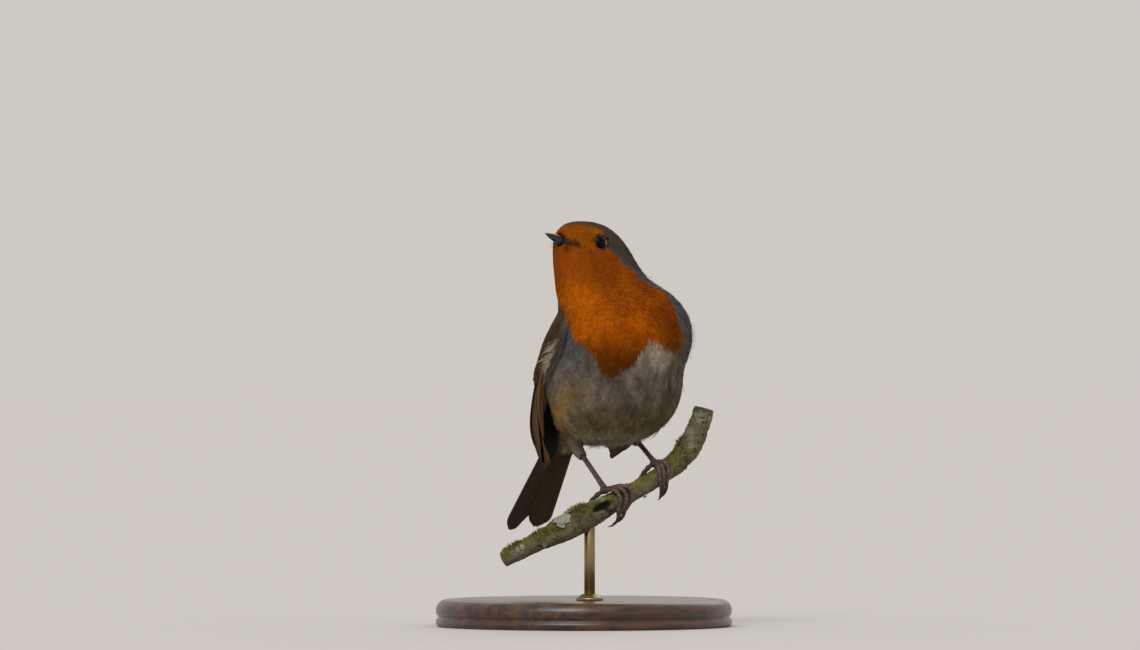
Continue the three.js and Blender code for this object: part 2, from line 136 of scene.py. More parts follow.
def rgba(code):
    """An sRGB hex colour as linear and opaque, for a node's socket."""
    return (*linear(code), 1.0)


def blend(a, b, t):
    """Colours a and b mixed by t, one number for each point."""
    return a + (b - a) * np.asarray(t)[..., None]


def layered(colour, *layers):
    """A colour with others laid over it in turn, each a pair of the colour and its share."""
    for over, share in layers:
        colour = blend(colour, over, share)
    return colour


def place(points):
    """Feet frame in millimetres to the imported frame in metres."""
    return (points + FEET_PLAN) * MM


# ---------------------------------------------------------------- meshes


def facing_out(points, faces):
    """Whether a closed shape's signed volume, the sum over its triangles of p0 . (p1 x p2), is
    positive."""
    volume = 0
    for f in faces:
        for k in range(1, f.shape[1] - 1):
            volume += dot(points[f[:, 0]], np.cross(points[f[:, k]], points[f[:, k + 1]])).sum()
    return volume >= 0


def capped(grid):
    """A grid's entries in a list, then the mean of its first row and the mean of its last."""
    ends = [grid[0].mean(0)[None], grid[-1].mean(0)[None]]
    return np.concatenate([grid.reshape(-1, grid.shape[-1]), *ends])


def tube(rings):
    """A closed shape through a stack of rings (rows, columns): quads between neighbouring rings,
    and a fan to the middle of the first and of the last. Its UV is (column, row) from 0 to 1."""
    rows, cols = rings.shape[:2]
    ring = np.arange(rows * cols).reshape(rows, cols)
    beside = np.roll(ring, -1, 1)
    quads = np.stack([ring[:-1], beside[:-1], beside[1:], ring[1:]], -1).reshape(-1, 4)
    first, last = np.full(cols, rows * cols), np.full(cols, rows * cols + 1)
    tris = np.concatenate([np.stack([first, beside[0], ring[0]], -1),
                           np.stack([last, ring[-1], beside[-1]], -1)])
    u, v = np.meshgrid(np.arange(cols) / cols, np.arange(rows) / (rows - 1))
    step = 1 / cols
    quad_uv = np.stack([np.stack([u[:-1], u[:-1] + step, u[1:] + step, u[1:]], -1),
                        np.stack([v[:-1], v[:-1], v[1:], v[1:]], -1)], -1).reshape(-1, 4, 2)
    row = u[0]

    def fan_uv(level, a, b):
        """The map of an end's triangles: each tip between its corners, a and b, on one level."""
        return np.stack([np.stack([row + step / 2, a, b], -1), np.full((cols, 3), level)], -1)

    tri_uv = np.concatenate([fan_uv(0.0, row + step, row), fan_uv(1.0, row, row + step)])
    return {"points": capped(rings), "faces": [quads, tris], "uv": [quad_uv, tri_uv]}


def joined(shapes):
    """Several shapes as one, the vertices of each counted on from the last."""
    start, faces, uv = 0, [], []
    for s in shapes:
        faces += [f + start for f in s["faces"]]
        uv += s["uv"]
        start += len(s["points"])
    made = {"faces": faces, "uv": uv}
    for key in ("points", "tint", "normals"):
        if key in shapes[0]:
            made[key] = np.concatenate([s[key] for s in shapes])
    return made


def rings_round(path, radius, aside, facets):
    """Rings round a path: at each point, directions square to the path, measured from one that it
    never takes. The radius is one number to a point, or a (points, facets) array."""
    tangent = unit(np.gradient(path, axis=0))
    across = unit(np.cross(aside, tangent))
    up = np.cross(tangent, across)
    angle = circle(facets)[None, :, None]
    reach = np.broadcast_to(np.reshape(radius, (len(path), -1)), (len(path), facets))
    out = across[:, None] * np.cos(angle) + up[:, None] * np.sin(angle)
    return path[:, None] + out * reach[..., None]


PATCH = 0.0015  # half the breadth of a tuft's patch on the skin's unwrap


def ribbons(points, spot, tint, normals=None):
    """Pointed ribbons of one quad and one triangle: five points each, a pair at the root, a pair
    half way and the tip. Their colours and UV places are one to a point."""
    first = (np.arange(points.size // 15) * 5)[:, None]
    faces = [first + np.array([0, 2, 3, 1]), first + np.array([2, 4, 3])]
    tint = np.broadcast_to(tint, points.shape).reshape(-1, 3)
    made = {"points": points.reshape(-1, 3), "faces": faces, "uv": [spot[f] for f in faces],
            "tint": np.clip(tint, 0, 1)}
    if normals is not None:
        made["normals"] = normals.reshape(-1, 3)
    return made


def ribbon(start, middle, tip, half, root_share, middle_share):
    """The five points of each ribbon; half is half of its width, as a vector."""
    root, waist = half * root_share, half * middle_share
    return np.stack([start - root, start + root, middle - waist, middle + waist, tip], 1)


def ribbon_patch(at):
    """A patch of the coat's UV at each ribbon's place on the skin's unwrap."""
    five = np.array([(-1, -1), (1, -1), (-1, 0), (1, 0), (0, 1)]) * PATCH
    return np.repeat(at, 5, 0) + np.tile(five, (len(at), 1))


def piece(name, shape, material, replaces=(), uv_name="UVMap", closed=True):
    """Puts a shape into a mesh object that rides on the body."""
    points, faces, uv = shape["points"], shape["faces"], shape["uv"]
    if closed and not facing_out(points, faces):
        faces, uv = [f[:, ::-1] for f in faces], [c[:, ::-1] for c in uv]
    corners = np.concatenate([f.ravel() for f in faces])
    sizes = np.concatenate([np.full(len(f), f.shape[1]) for f in faces])
    mesh = bpy.data.meshes.new(name)

    def fill(layer, key, values, kind=np.float32):
        """One array into one layer of the mesh, flattened."""
        layer.foreach_set(key, values.astype(kind).ravel())

    mesh.vertices.add(len(points))
    mesh.loops.add(len(corners))
    mesh.polygons.add(len(sizes))
    fill(mesh.vertices, "co", place(points))
    fill(mesh.loops, "vertex_index", corners, np.int32)
    fill(mesh.polygons, "loop_start", np.cumsum(sizes) - sizes, np.int32)
    fill(mesh.polygons, "use_smooth", np.ones(len(sizes)), bool)
    fill(mesh.uv_layers.new(name=uv_name).data, "uv",
         np.concatenate([c.reshape(-1, 2) for c in uv]))
    if "tint" in shape:
        paint = mesh.color_attributes.new("Pigment", "FLOAT_COLOR", "POINT")
        fill(paint.data, "color", np.concatenate([shape["tint"], np.ones((len(points), 1))], 1))
    if "normals" in shape:
        lean = mesh.attributes.new("custom_normal", "FLOAT_VECTOR", "POINT")
        fill(lean.data, "vector", shape["normals"])
    mesh.update(calc_edges=True)
    mesh.materials.append(material)
    made = bpy.data.objects.new(name, mesh)
    bpy.context.scene.collection.objects.link(made)
    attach(made, BODY)
    if replaces:
        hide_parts(*replaces)


def coat_piece(name, shape):
    """Feathers: an open mesh of barbs, with the coat's own UV map."""
    piece(name, shape, plumage, uv_name="OFBake", closed=False)


# ---------------------------------------------------------------- materials


def add(tree, kind, inputs, **settings):
    """Adds one node: its own settings, then a value or a link into each socket."""
    made = tree.nodes.new("ShaderNode" + kind)
    for name, value in settings.items():
        setattr(made, name, value)
    for socket, value in inputs.items():
        if isinstance(value, bpy.types.NodeSocket):
            tree.links.new(value, made.inputs[socket])
        else:
            made.inputs[socket].default_value = value
    return made


def material(name):
    """An empty material; returns it and its node tree."""
    made = bpy.data.materials.new(name)
    made.use_nodes = True
    made.node_tree.nodes.clear()
    return made, made.node_tree


def pigment_in(tree):
    """The colour painted on the mesh's points."""
    return add(tree, "Attribute", {}, attribute_name="Pigment").outputs["Color"]


def grain_in(tree, scale, detail, stretch=None, **more):
    """Noise on the object's own coordinates, in metres, drawn out along some axes if asked."""
    at = add(tree, "TexCoord", {}).outputs["Object"]
    if stretch:
        at = add(tree, "Mapping", {"Vector": at, "Scale": stretch}).outputs[0]
    noise_inputs = {"Vector": at, "Scale": scale, "Detail": detail, **more}
    return add(tree, "TexNoise", noise_inputs).outputs["Fac"]


def mapped(tree, fac, low, high, start=0.0, end=1.0):
    """A factor's stretch from start to end, carried to low and high."""
    return add(tree, "MapRange", {"Value": fac, "From Min": start, "From Max": end,
                                  "To Min": low, "To Max": high}).outputs[0]


def shaded(tree, colour, share):
    """A colour times a number."""
    return add(tree, "VectorMath", {0: colour, "Scale": share}, operation="SCALE").outputs[0]


def two_tone(tree, fac, dark, light, dark_at=0.0, light_at=1.0):
    """A factor as a colour between two."""
    made = add(tree, "ValToRGB", {"Fac": fac})
    first, second = made.color_ramp.elements
    first.color, second.color = rgba(dark), rgba(light)
    first.position, second.position = dark_at, light_at
    return made.outputs["Color"]


def surface(tree, colour, roughness, specular=0.5, bump=None, depth=0.0, strength=1.0,
            coat=(0.0, 0.03), metallic=0.0, sheen=0.0):
    """The shader and output that end a material. The bump is a height from 0 to 1 whose full rise
    is depth, in metres; the coat is a varnish's weight and roughness."""
    inputs = {"Base Color": colour, "Roughness": roughness, "Specular IOR Level": specular,
              "Coat Weight": coat[0], "Coat Roughness": coat[1], "Metallic": metallic,
              "Sheen Weight": sheen}
    if bump is not None:
        relief = {"Height": bump, "Distance": depth, "Strength": strength}
        inputs["Normal"] = add(tree, "Bump", relief).outputs[0]
    shader = add(tree, "BsdfPrincipled", inputs)
    add(tree, "OutputMaterial", {"Surface": shader.outputs[0]})


# Feather barbs: soft keratin strands, matt. Each has its own colour, darker and greyer towards
# its downy root.
plumage, tree = material("feather_barbs")
surface(tree, pigment_in(tree), 0.85, 0.05)

# Quill feathers: flat webs of barbs, a little glossier than down. Fine lines slant from the
# shaft to the edge, 0.3 mm apart.
quills, tree = material("quill_webs")
web_place = add(tree, "UVMap", {}, uv_map="UVMap").outputs["UV"]
barb_lines = add(tree, "TexWave", {"Vector": web_place, "Scale": 10.5, "Distortion": 0.6,
                                   "Detail": 1.0, "Detail Scale": 2.0},
                 wave_type="BANDS", bands_direction="Y").outputs["Fac"]
surface(tree, shaded(tree, pigment_in(tree), mapped(tree, barb_lines, 0.93, 1.05)), 0.72, 0.1,
        barb_lines, 0.00003, 0.5)

# Skin under the coat: thin, matt, and the colour of the feathers over it, as down hides it.
skin_under, tree = material("downy_skin")
surface(tree, pigment_in(tree), 0.95, 0.1, grain_in(tree, 1800.0, 3.0), 0.0003)

# Bill: polished horn, blue-black, with fine growth lines lengthways and a satin shine.
horn, tree = material("bill_horn")
grain = grain_in(tree, 900.0, 3.0)
surface(tree, two_tone(tree, grain, "#0E0D10", "#26262C"), 0.32, 0.55, grain, 0.00006,
        coat=(0.25, 0.25))

# Eye: a wet dark lens, almost black, that mirrors the lights.
eye_gloss, tree = material("glass_eye")
surface(tree, rgba("#030202"), 0.05, 0.1)

# Eyelid skin: thin bare rim, its colour painted from dark slate to a pale crescent.
lid_skin, tree = material("eyelid_skin")
surface(tree, pigment_in(tree), 0.55, 0.3)

# Leg scales: smooth overlapping scutes, pinkish brown, slightly waxy, with dark seams.
scales, tree = material("leg_scutes")
scale_place = add(tree, "TexCoord", {}).outputs["Object"]
cells = add(tree, "TexVoronoi", {"Vector": scale_place, "Scale": 1500.0}, feature="F1")
surface(tree, pigment_in(tree), 0.46, 0.4, cells.outputs["Distance"], 0.00007, coat=(0.08, 0.4))

# Claws: dark polished horn, translucent brown towards the point.
claw_horn, tree = material("claw_horn")
surface(tree, two_tone(tree, grain_in(tree, 1400.0, 2.0), "#221915", "#47362D"), 0.42, 0.35)

# Bark: dry, rough and cracked, painted by height and place with green algae and grey plates, and
# darkened as painted shade in its cracks, dips and lifted hollow; the fine grit is about 0.4 mm.
bark, tree = material("algae_bark")
grit = grain_in(tree, 1300.0, 6.0, Roughness=0.7)
surface(tree, shaded(tree, pigment_in(tree), mapped(tree, grit, 0.55, 1.35, 0.3, 0.7)), 0.92,
        0.15, grit, 0.0005)

# Moss and lichen: tiny dry leaves and crusts, matt, each with its own colour.
moss, tree = material("moss_and_lichen")
surface(tree, pigment_in(tree), 0.9, 0.12, sheen=0.1)

# Stand base: turned walnut under satin varnish, its grain running across the disc in bands
# about 3 mm apart with fine pores.
walnut, tree = material("varnished_walnut")
grain = grain_in(tree, 32.0, 5.0, (1.0, 9.0, 9.0), Distortion=0.6)
surface(tree, two_tone(tree, grain, "#26170E", "#5A3A24", 0.34, 0.68), 0.38,
        bump=grain_in(tree, 90.0, 2.0, (1.0, 30.0, 30.0)), depth=0.00008, coat=(0.35, 0.2))

# Rod and collar: drawn brass, lightly brushed, slightly dulled by lacquer.
brass, tree = material("drawn_brass")
brushing = grain_in(tree, 120.0, 2.0, (30.0, 30.0, 1.0))
surface(tree, rgba("#9A8660"), mapped(tree, brushing, 0.30, 0.46), bump=brushing, depth=0.00002,
        metallic=1.0)

# Floor: plain matt studio paper.
paper, tree = material("studio_paper")
surface(tree, rgba("#D0CDCB"), 0.95, 0.1)

# ---------------------------------------------------------------- the body's surface

SOFTNESS = 2.6  # how far the body's ellipsoids run into each other
SKULL = np.array((-15.0, 7.0, 138.9))
HEAD_TURN, HEAD_PITCH = math.radians(-80), math.radians(20)
BODY_MIDDLE = -3.0


def swung(vector, axis, angle):
    """Rodrigues: v cos a + (k x v) sin a + k (k . v)(1 - cos a)."""
    v, k = np.asarray(vector, float), np.asarray(axis, float)
    cos, sin = math.cos(angle), math.sin(angle)
    return v * cos + np.cross(k, v) * sin + k * dot(k, v) * (1 - cos)


def head_way(vector):
    """A direction of the level, forward-facing head, pitched and then turned as it is held."""
    return swung(swung(vector, (1, 0, 0), -HEAD_PITCH), UPRIGHT, HEAD_TURN)


FORWARD, LEFT, UP = head_way((0, -1, 0)), head_way((1, 0, 0)), head_way((0, 0, 1))


def on_head(f, l, u):
    """A point forward, left and up of the skull's middle."""
    f, l, u = (np.asarray(x, float)[..., None] for x in (f, l, u))
    return SKULL + f * FORWARD + l * LEFT + u * UP


def in_head(points):
    """How far points lie forward, left and up of the skull's middle, the inverse of on_head."""
    return [dot(points - SKULL, way) for way in (FORWARD, LEFT, UP)]


def head_mass(f, l, u, *radii):
    """An ellipsoid by its middle and its radii, in the head's own three directions."""
    return on_head(f, l, u), np.array((FORWARD, LEFT, UP)), np.array(radii)


def trunk_mass(x, y, z, *radii, lean=0):
    """An ellipsoid by its middle and its radii along x, y and z, leaned about x by degrees."""
    axes = [swung(axis, (1, 0, 0), math.radians(lean)) for axis in np.eye(3)]
    return np.array((x, y, z), float), np.array(axes), np.array(radii)


MASSES = [
    head_mass(-1.5, 0, 0, 9.4, 7.8, 9.8),  # skull
    head_mass(-8, 0, -1.8, 9, 8, 9.4),  # nape
    head_mass(3.6, 4.2, 3.2, 6, 2.4, 3),  # brows
    head_mass(3.6, -4.2, 3.2, 6, 2.4, 3),
    head_mass(6.6, 0, -1.6, 5.4, 4.4, 4.4),  # face, round the bill's root
    head_mass(6.6, 0, 2, 6.2, 5.4, 4),  # forehead
    head_mass(1.4, 3.4, -4.6, 6.8, 4.6, 5.6),  # cheeks
    head_mass(1.4, -3.4, -4.6, 6.8, 4.6, 5.6),
    trunk_mass(-17.5, 6, 127, 10.6, 9.4, 14),  # throat
    trunk_mass(-7, 7, 125, 13, 13, 14),  # neck
    trunk_mass(-1.2, 1, 108, 25, 18.8, 20.5),  # breast
    trunk_mass(BODY_MIDDLE, 12, 110, 20, 14, 19, lean=15),  # mantle
    trunk_mass(-3, 9, 89.5, 26.8, 20.4, 22.4),  # belly
    trunk_mass(BODY_MIDDLE, 19, 92, 18, 13, 18, lean=12),  # back
    trunk_mass(-5, 24, 80, 16, 14, 12.5),  # vent
    trunk_mass(-5, 37, 75, 7.5, 4.6, 15, lean=34),  # tail coverts
]


def outside(points):
    """How far points lie outside the smooth union: -S ln(sum of exp(-d / S)), where d is each
    ellipsoid's rough distance k(k - 1) / g, k the length of the point over its radii and g the
    length of the point over their squares."""
    total = np.zeros(points.shape[:-1])
    for middle, axes, radii in MASSES:
        scaled = (points - middle) @ axes.T / radii
        reach = np.sqrt(dot(scaled, scaled))
        slope = np.sqrt(dot(scaled / radii, scaled / radii)) + 1e-9
        total += np.exp(np.minimum(-reach * (reach - 1) / slope / SOFTNESS, 60))
    return -SOFTNESS * np.log(total + 1e-30)


def outward(points):
    """The surface's normal: the unit gradient of outside(), by central differences."""
    steps = np.eye(3) * 0.05
    return unit(np.stack([outside(points + s) - outside(points - s) for s in steps], -1))


def onto_surface(points, way, level=0.0):
    """Points moved along a direction by as much as they lie outside a level."""
    return points - way * (outside(points) - level)[..., None]


RAY_LENGTH = 60.0  # longer than any stretch from the axis to the surface


def crossing(start, way, level, halvings):
    """Where rays from inside the body reach a level outside its surface, found by halving the
    stretch of ray that crosses it."""
    near, far = np.zeros(start.shape[:-1]), np.full(start.shape[:-1], RAY_LENGTH)
    for _ in range(halvings):
        middle = (near + far) / 2
        inner = outside(start + way * middle[..., None]) < level
        near, far = np.where(inner, middle, near), np.where(inner, far, middle)
    return start + way * near[..., None]


BODY_AXIS = [(-14.5, 7, 140.5), (-12, 6.5, 130), (-6, 5.5, 118), (-3, 6, 104),
             (-3, 11, 90), (-3.5, 20, 80), (-4.5, 31, 73), (-5, 42, 64)]
TURNS = (0.2, 0.93)  # the stations where the rays leave and reach the level
AXIS_START = 0.1


def body_point(station, turn, level=0.0):
    """Where a ray from the curved axis leaves the body, at a level outside its surface: station
    0 is the crown and 1 the tail's root, and turn is 0 at the front, a quarter at the bird's
    right."""
    station, turn, level = np.broadcast_arrays(station, turn, level)
    t = np.clip((station - AXIS_START) / (TURNS[1] - AXIS_START), 0, 1)
    rise = np.where(station < TURNS[0], 1 - station / TURNS[0],
                    np.minimum(0, (TURNS[1] - station) / (1 - TURNS[1])))
    lift = (rise * np.pi / 2)[..., None]
    up = -heading(BODY_AXIS, t)
    front = unit(np.array((0.0, -1.0, 0.0)) + up * up[..., 1:2])
    right = np.cross(front, up)
    angle = (turn * 2 * np.pi)[..., None]
    way = np.cos(lift) * (front * np.cos(angle) + right * np.sin(angle)) + np.sin(lift) * up
    return crossing(along(BODY_AXIS, t), way, level, 22)


# ---------------------------------------------------------------- markings

BILL_BASE = on_head(15.0, 0.0, -0.5)  # the feathers of the head lie away from here
# From the bill's corner back along the cheek: forward, out to the side and up.
GAPE_LINE = [(14.2, 2.9, -0.9), (12.9, 4.6, -1.4), (10.6, 7.2, -1.5), (8.3, 9.0, -1.9),
             (6.7, 10.2, -3)]
EYE_RADIUS = 2.75
EYE_PLACE = (3.9, 0.0, 2.1)  # forward, left and up of the skull's middle, before it moves out
EYE_INSET = 1.3  # the eye's middle, below the face
CORNEA = 0.84  # the eye's depth in front of its middle, over its radius
EYE_SIDES = {"left": LEFT, "right": -LEFT}
EYES = {side: crossing(on_head(*EYE_PLACE), way, -EYE_INSET, 30)
        for side, way in EYE_SIDES.items()}


def from_eye(points):
    """The distance to the middle of the nearer eye."""
    return np.minimum(*(gap(points, eye) for eye in EYES.values()))


AXIS_LINE = along(BODY_AXIS, np.linspace(0, 1, 200))
TURN_SEAM = 95  # where the turns round the trunk begin again


def on_axis(points, values):
    """A value that runs down the body's axis, at the points' heights."""
    return np.interp(-points[..., 2], -AXIS_LINE[:, 2], values)


def trunk_turn(points):
    """Degrees round the trunk from straight ahead, more towards the bird's left; from -265 to 95,
    as the turned head carries the markings of its far side round behind the neck."""
    x, y = on_axis(points, AXIS_LINE[:, 0]), on_axis(points, AXIS_LINE[:, 1])
    turn = np.degrees(np.arctan2(points[..., 0] - x, y - points[..., 1]))
    return np.where(turn > TURN_SEAM, turn - 360, turn)


# The bib's lower edge: height in millimetres at each turn round the trunk.
BIB_LOW = np.array([(-97, 117), (-90, 112), (-76, 107), (-66, 103.5), (-58, 100.5), (-49, 97),
                    (-40, 92), (-34, 90.6), (-29, 91.4), (-21, 94), (-13, 97), (-7, 101),
                    (-1, 104.6), (8, 103.4), (16, 101.2), (26, 99.8), (37, 98.6)])
# Its left and right edges: turn at each height.
BIB_LEFT = np.array([(100, 37), (106, 38), (114, 40), (120, 45), (123, 49), (126, 45), (129, 41),
                     (134, 40), (138, 34)])
BIB_RIGHT = np.array([(117, -97), (122, -112), (126, -135), (130, -160), (134, -180), (138, -193)])
# The top of the orange face: height above the skull's middle at each distance forward.
FACE_TOP = np.array([(-6.2, -4), (-6, -1.2), (-1.5, 0.4), (0.5, 1.7), (1.1, 4.2), (1.7, 6.8),
                     (4.2, 7.5), (8.2, 7.7), (11.5, 6.9), (13.6, 5.6)])
MM_PER_DEGREE = 0.38  # round the trunk
NECK = (130, 135)  # the heights between which the trunk's markings become the head's

ORANGE = linear("#9E4C00")
ORANGE_BRIGHT = linear("#C06300")
ORANGE_DEEP = linear("#592C00")
FOREHEAD = linear("#964E00")
BROW = linear("#A86208")
SLATE = linear("#59595B")
CROWN = linear("#4C4139")
MANTLE = linear("#544732")
RUMP = linear("#5F533B")
BELLY_WHITE = linear("#A89D8C")
BELLY_GREY = linear("#6B6256")
BELLY_LOW = linear("#6B603F")
FLANK = linear("#83693F")
UNDERTAIL = linear("#8D8167")
DOWN = linear("#3E3B37")
# painted shade, for the gape's crease, round the eyes and under the bill's root
CREASE_SHADE = linear("#2A1608")


def near_line(points, line):
    """Distance from points to a broken line, the least over its straight stretches."""
    line = np.asarray(line, float)
    best = np.full(points.shape[:-1], np.inf)
    for a, b in zip(line[:-1], line[1:]):
        t = np.clip(dot(points - a, b - a) / dot(b - a, b - a), 0, 1)
        best = np.minimum(best, gap(points, a + t[..., None] * (b - a)))
    return best


def bib_depth(points):
    """How far inside the orange bib a point is, in millimetres: on the trunk the least of the
    distances to its lower, left and right edges, on the head the distance below the face's top
    edge, and a smooth mixture of the two up the neck."""
    f, _, u = in_head(points)
    z, turn = points[..., 2], trunk_turn(points)
    low = z - np.interp(turn, *BIB_LOW.T)
    left = (np.interp(z, *BIB_LEFT.T) - turn) * MM_PER_DEGREE
    right = (turn - np.interp(z, *BIB_RIGHT.T)) * MM_PER_DEGREE
    trunk = np.minimum(np.minimum(low, left), right)
    head = np.minimum(np.interp(f, *FACE_TOP.T) - u, f - FACE_TOP[0, 0])
    return lerp(trunk, head, ramp(z, *NECK))


def pigment(points):
    """The colour of the plumage at a place, as linear red, green and blue. The markings are the
    bib, its slate border, the brown upper side, and the belly with its pale notch and buff flanks,
    each from its place round the trunk or head. Light and shade are painted in as well: painted
    light on the bird's right breast and lower right flank, and painted shade on the left of the
    breast, on the cheek below the eye, in the gape's crease and round the eyes."""
    f, l, u = in_head(points)
    y, z, turn = points[..., 1], points[..., 2], trunk_turn(points)
    coarse, fine = noise(points, 7.0, 1) - 0.5, noise(points, 2.2, 2) - 0.5
    bib = bib_depth(points) + (fine * 1.6 + coarse * 1.2) * lerp(1.0, 0.4, ramp(z, 130, 137))
    streaks = noise(points * np.array((1, 1, 0.4)), 1.6, 3) - 0.5
    blotches = noise(points * np.array((1, 1, 0.7)), 4.2, 4) - 0.5

    def mottled(colour, streaky, blotchy):
        """A colour times 1 plus each noise by its strength."""
        return colour * (1 + streaky * streaks + blotchy * blotches)[..., None]

    # under side, from the pale notch down, with buff flanks
    low = layered(BELLY_GREY,
                  (BELLY_WHITE, bell(turn, 9, 24) * ramp(z, 84, 99)),
                  (BELLY_LOW, ramp(z, 86, 72)),
                  (FLANK, bell(turn, -66, 15) * ramp(z, 102, 80) * 0.9),
                  (FLANK, bell(turn, 66, 16) * ramp(z, 104, 90) * 0.5),
                  (BELLY_WHITE, ramp(z, 74, 68) * ramp(y, 24, 14) * 0.5),
                  (UNDERTAIL, ramp(y, 27, 35) * 0.8))
    # painted light: the lower flank on the bird's right side is lightened
    low = low * (1 + 0.75 * bell(turn, -60, 24) * ramp(z, 86, 74))[..., None]
    # slate sides of the neck and breast
    sides = np.maximum(ramp(turn, 33, 47), ramp(-turn, 42, 62))
    sides = sides * ramp(z + 14 * coarse + 7 * blotches, 84, 107)
    low = blend(mottled(low, 0.7, 0.75), mottled(SLATE, 0.3, 0.25), np.clip(sides, 0, 1))
    # upper side: behind the slate, and the whole crown
    upper = layered(MANTLE, (CROWN, ramp(z, 120, 132)), (RUMP, ramp(z, 92, 80)))
    from_front = np.abs(((turn + 3 + 180) % 360) - 180)
    behind = ramp(from_front, 78, 104)
    nape = np.maximum(behind, ramp(-bib, 4.5, 8.5) * ramp(z, 118, 128))
    behind = np.where(z > 118, nape, behind)
    rump_edge = (92 - z) * 0.35
    behind = behind * np.where(z < 92, ramp(y, 24 + rump_edge, 30 + rump_edge), 1)
    behind = np.maximum(behind, ramp(z, 127, 134))
    border = ramp(-bib, 8.0, 1.0) * ramp(z, 104, 116) * ramp(z, 141, 132) * 0.8
    ground = layered(low, (mottled(upper, 0.3, 0.2), behind), (SLATE, border))

    # the orange, duller and deeper down the breast, and ragged over the pale notch; painted light
    # brightens the bird's right breast, and painted shade deepens the orange on its left side and
    # on the cheek below the eye
    brow = np.exp(-(((f - 4.4) / 3.2) ** 2) - ((u - 6.1) / 1.1) ** 2)
    painted_light_breast = bell(turn, -62, 24) * ramp(z, 100, 108) * ramp(z, 132, 122)
    warm = layered(ORANGE,
                   (ORANGE_BRIGHT, ramp(coarse, 0.0, 0.35) * ramp(z, 96, 104) * 0.5),
                   (ORANGE_BRIGHT, painted_light_breast * 0.8),
                   (ORANGE_DEEP, ramp(z, 108, 96) * 0.85),
                   (ORANGE_DEEP, ramp(turn, 2, 32) * ramp(z, 128, 108) * 0.62),
                   (ORANGE_DEEP, ramp(z, 118, 128) * ramp(turn, -60, -20) * ramp(u, 4, -2) * 0.3),
                   (FOREHEAD, ramp(f, 2, 9) * ramp(z, 136, 141)),
                   (BROW, brow * 0.75))
    soft = 0.8 + 1.8 * ramp(turn, -8, 12) * ramp(z, 114, 106)
    soft = soft + 0.8 * ramp(-turn, 20, 40) * ramp(z, 126, 112)

    # painted shade in the gape's crease and in a ring round each eye, and a dark spot behind the
    # eye
    folded = np.stack([f, np.abs(l), u], -1)
    crease = ramp(near_line(folded, GAPE_LINE), lerp(0.6, 2.0, ramp(f, 9.0, 12)), 0.5)
    return layered(ground,
                   (mottled(warm, 0.25, 0.2), ramp(bib / soft, -1, 1)),
                   (CREASE_SHADE, crease * lerp(0.6, 0.97, ramp(f, 9.5, 12))),
                   (CREASE_SHADE, ramp(from_eye(points), 4.2, 2.9) * 0.55),
                   (CREASE_SHADE, ramp(gap(folded, np.array((0.4, 10.4, 2.6))), 1.3, 0.5) * 0.6))


# ---------------------------------------------------------------- the coat's depth and lie

REACHES = [0, 4, 10, 18, 30, 45, 60]  # distance from the bill's base, and there:
DEPTHS = [0.45, 0.6, 0.9, 1.7, 2.8, 4.0, 4.2]  # the skin below the feather tips
FEATHER_LENGTHS = [1.6, 2.1, 3.0, 4.4, 6.2, 8.0, 8.6]
FEATHER_WIDTHS = [0.8, 1.1, 1.6, 2.2, 3.0, 3.8, 4.2]
FEATHERS_PER_MM2 = [8.0, 7.0, 4.8, 2.9, 1.6, 1.1, 0.95]
BARB_WIDTHS = [0.12, 0.14, 0.17, 0.21, 0.24, 0.26, 0.27]


def coat_depth(points):
    """How far the skin lies below the coat's outline: from 0.5 mm at the bill to 4 mm on the
    trunk, thinner round the eyes and over the tail's root."""
    depth = np.interp(gap(points, BILL_BASE), REACHES, DEPTHS)
    depth = np.minimum(depth, 0.45 + 0.22 * np.maximum(0, from_eye(points) - EYE_RADIUS))
    return lerp(depth, 1.4, ramp(points[..., 1], 28, 40))


def lie(points, normal):
    """The way feathers lie: away from the bill's base on the head, parted round the eyes, and
    down the trunk's axis below the neck, all turned into the surface."""
    height = np.clip(points[..., 2], AXIS_LINE[-1, 2], AXIS_LINE[0, 2])
    nearest = np.clip(np.searchsorted(-AXIS_LINE[:, 2], -height), 1, len(AXIS_LINE) - 1)
    down = unit(AXIS_LINE[nearest] - AXIS_LINE[nearest - 1])
    share = ramp(gap(points, BILL_BASE), 14, 34)
    flow = lerp(unit(points - BILL_BASE), down, share[..., None])
    for eye in EYES.values():
        part = 1.6 * np.exp(-((gap(points, eye) - EYE_RADIUS) / 1.3))
        flow = flow + unit(points - eye) * part[..., None]
    return unit(flow - normal * dot(flow, normal)[..., None])


# ---------------------------------------------------------------- skin

SKIN_ROWS, SKIN_COLUMNS = 240, 176


def skin():
    """The body's surface on a grid of stations and turns, lowered by the coat's depth."""
    station, turn = np.meshgrid(np.linspace(0.008, 0.985, SKIN_ROWS),
                                0.5 + np.arange(SKIN_COLUMNS) / SKIN_COLUMNS, indexing="ij")
    over = body_point(station, turn)
    shape = tube(body_point(station, turn, -coat_depth(over)))
    shape["tint"] = blend(pigment(capped(over)), DOWN, 0.35)
    return shape


piece("skin", skin(), skin_under,
      ("head", "neck", "breast", "belly", "rump", "thigh_left", "thigh_right"), uv_name="OFBake")

# ---------------------------------------------------------------- wings' surface

LEADING = [(-25, 5, 116), (-28.8, 12, 103), (-29.6, 18.5, 86), (-26.6, 21, 70.5), (-20, 30, 57.5)]
TRAILING = [(-16, 23.5, 117), (-10.5, 32, 104), (-7.5, 37.5, 90), (-9, 41, 76), (-16, 38, 58.5)]
SWELL = [3, 5.4, 7.2, 8, 2.2]
LEFT_WING_LIFT = 4.3  # the left wing's tip is held this much higher
LEFT_WING_TUCK = 4.5  # and this much nearer the tail
WING_SHADE = 3.8  # how near a wing's inner face a place on the body is hidden


def to_left(point, p):
    """A point of the right wing mirrored to the left one, whose tip is higher and nearer the
    tail."""
    x = 2 * BODY_MIDDLE - point[..., 0] - LEFT_WING_TUCK * p
    return np.stack([x, point[..., 1], point[..., 2] + LEFT_WING_LIFT * p], -1)


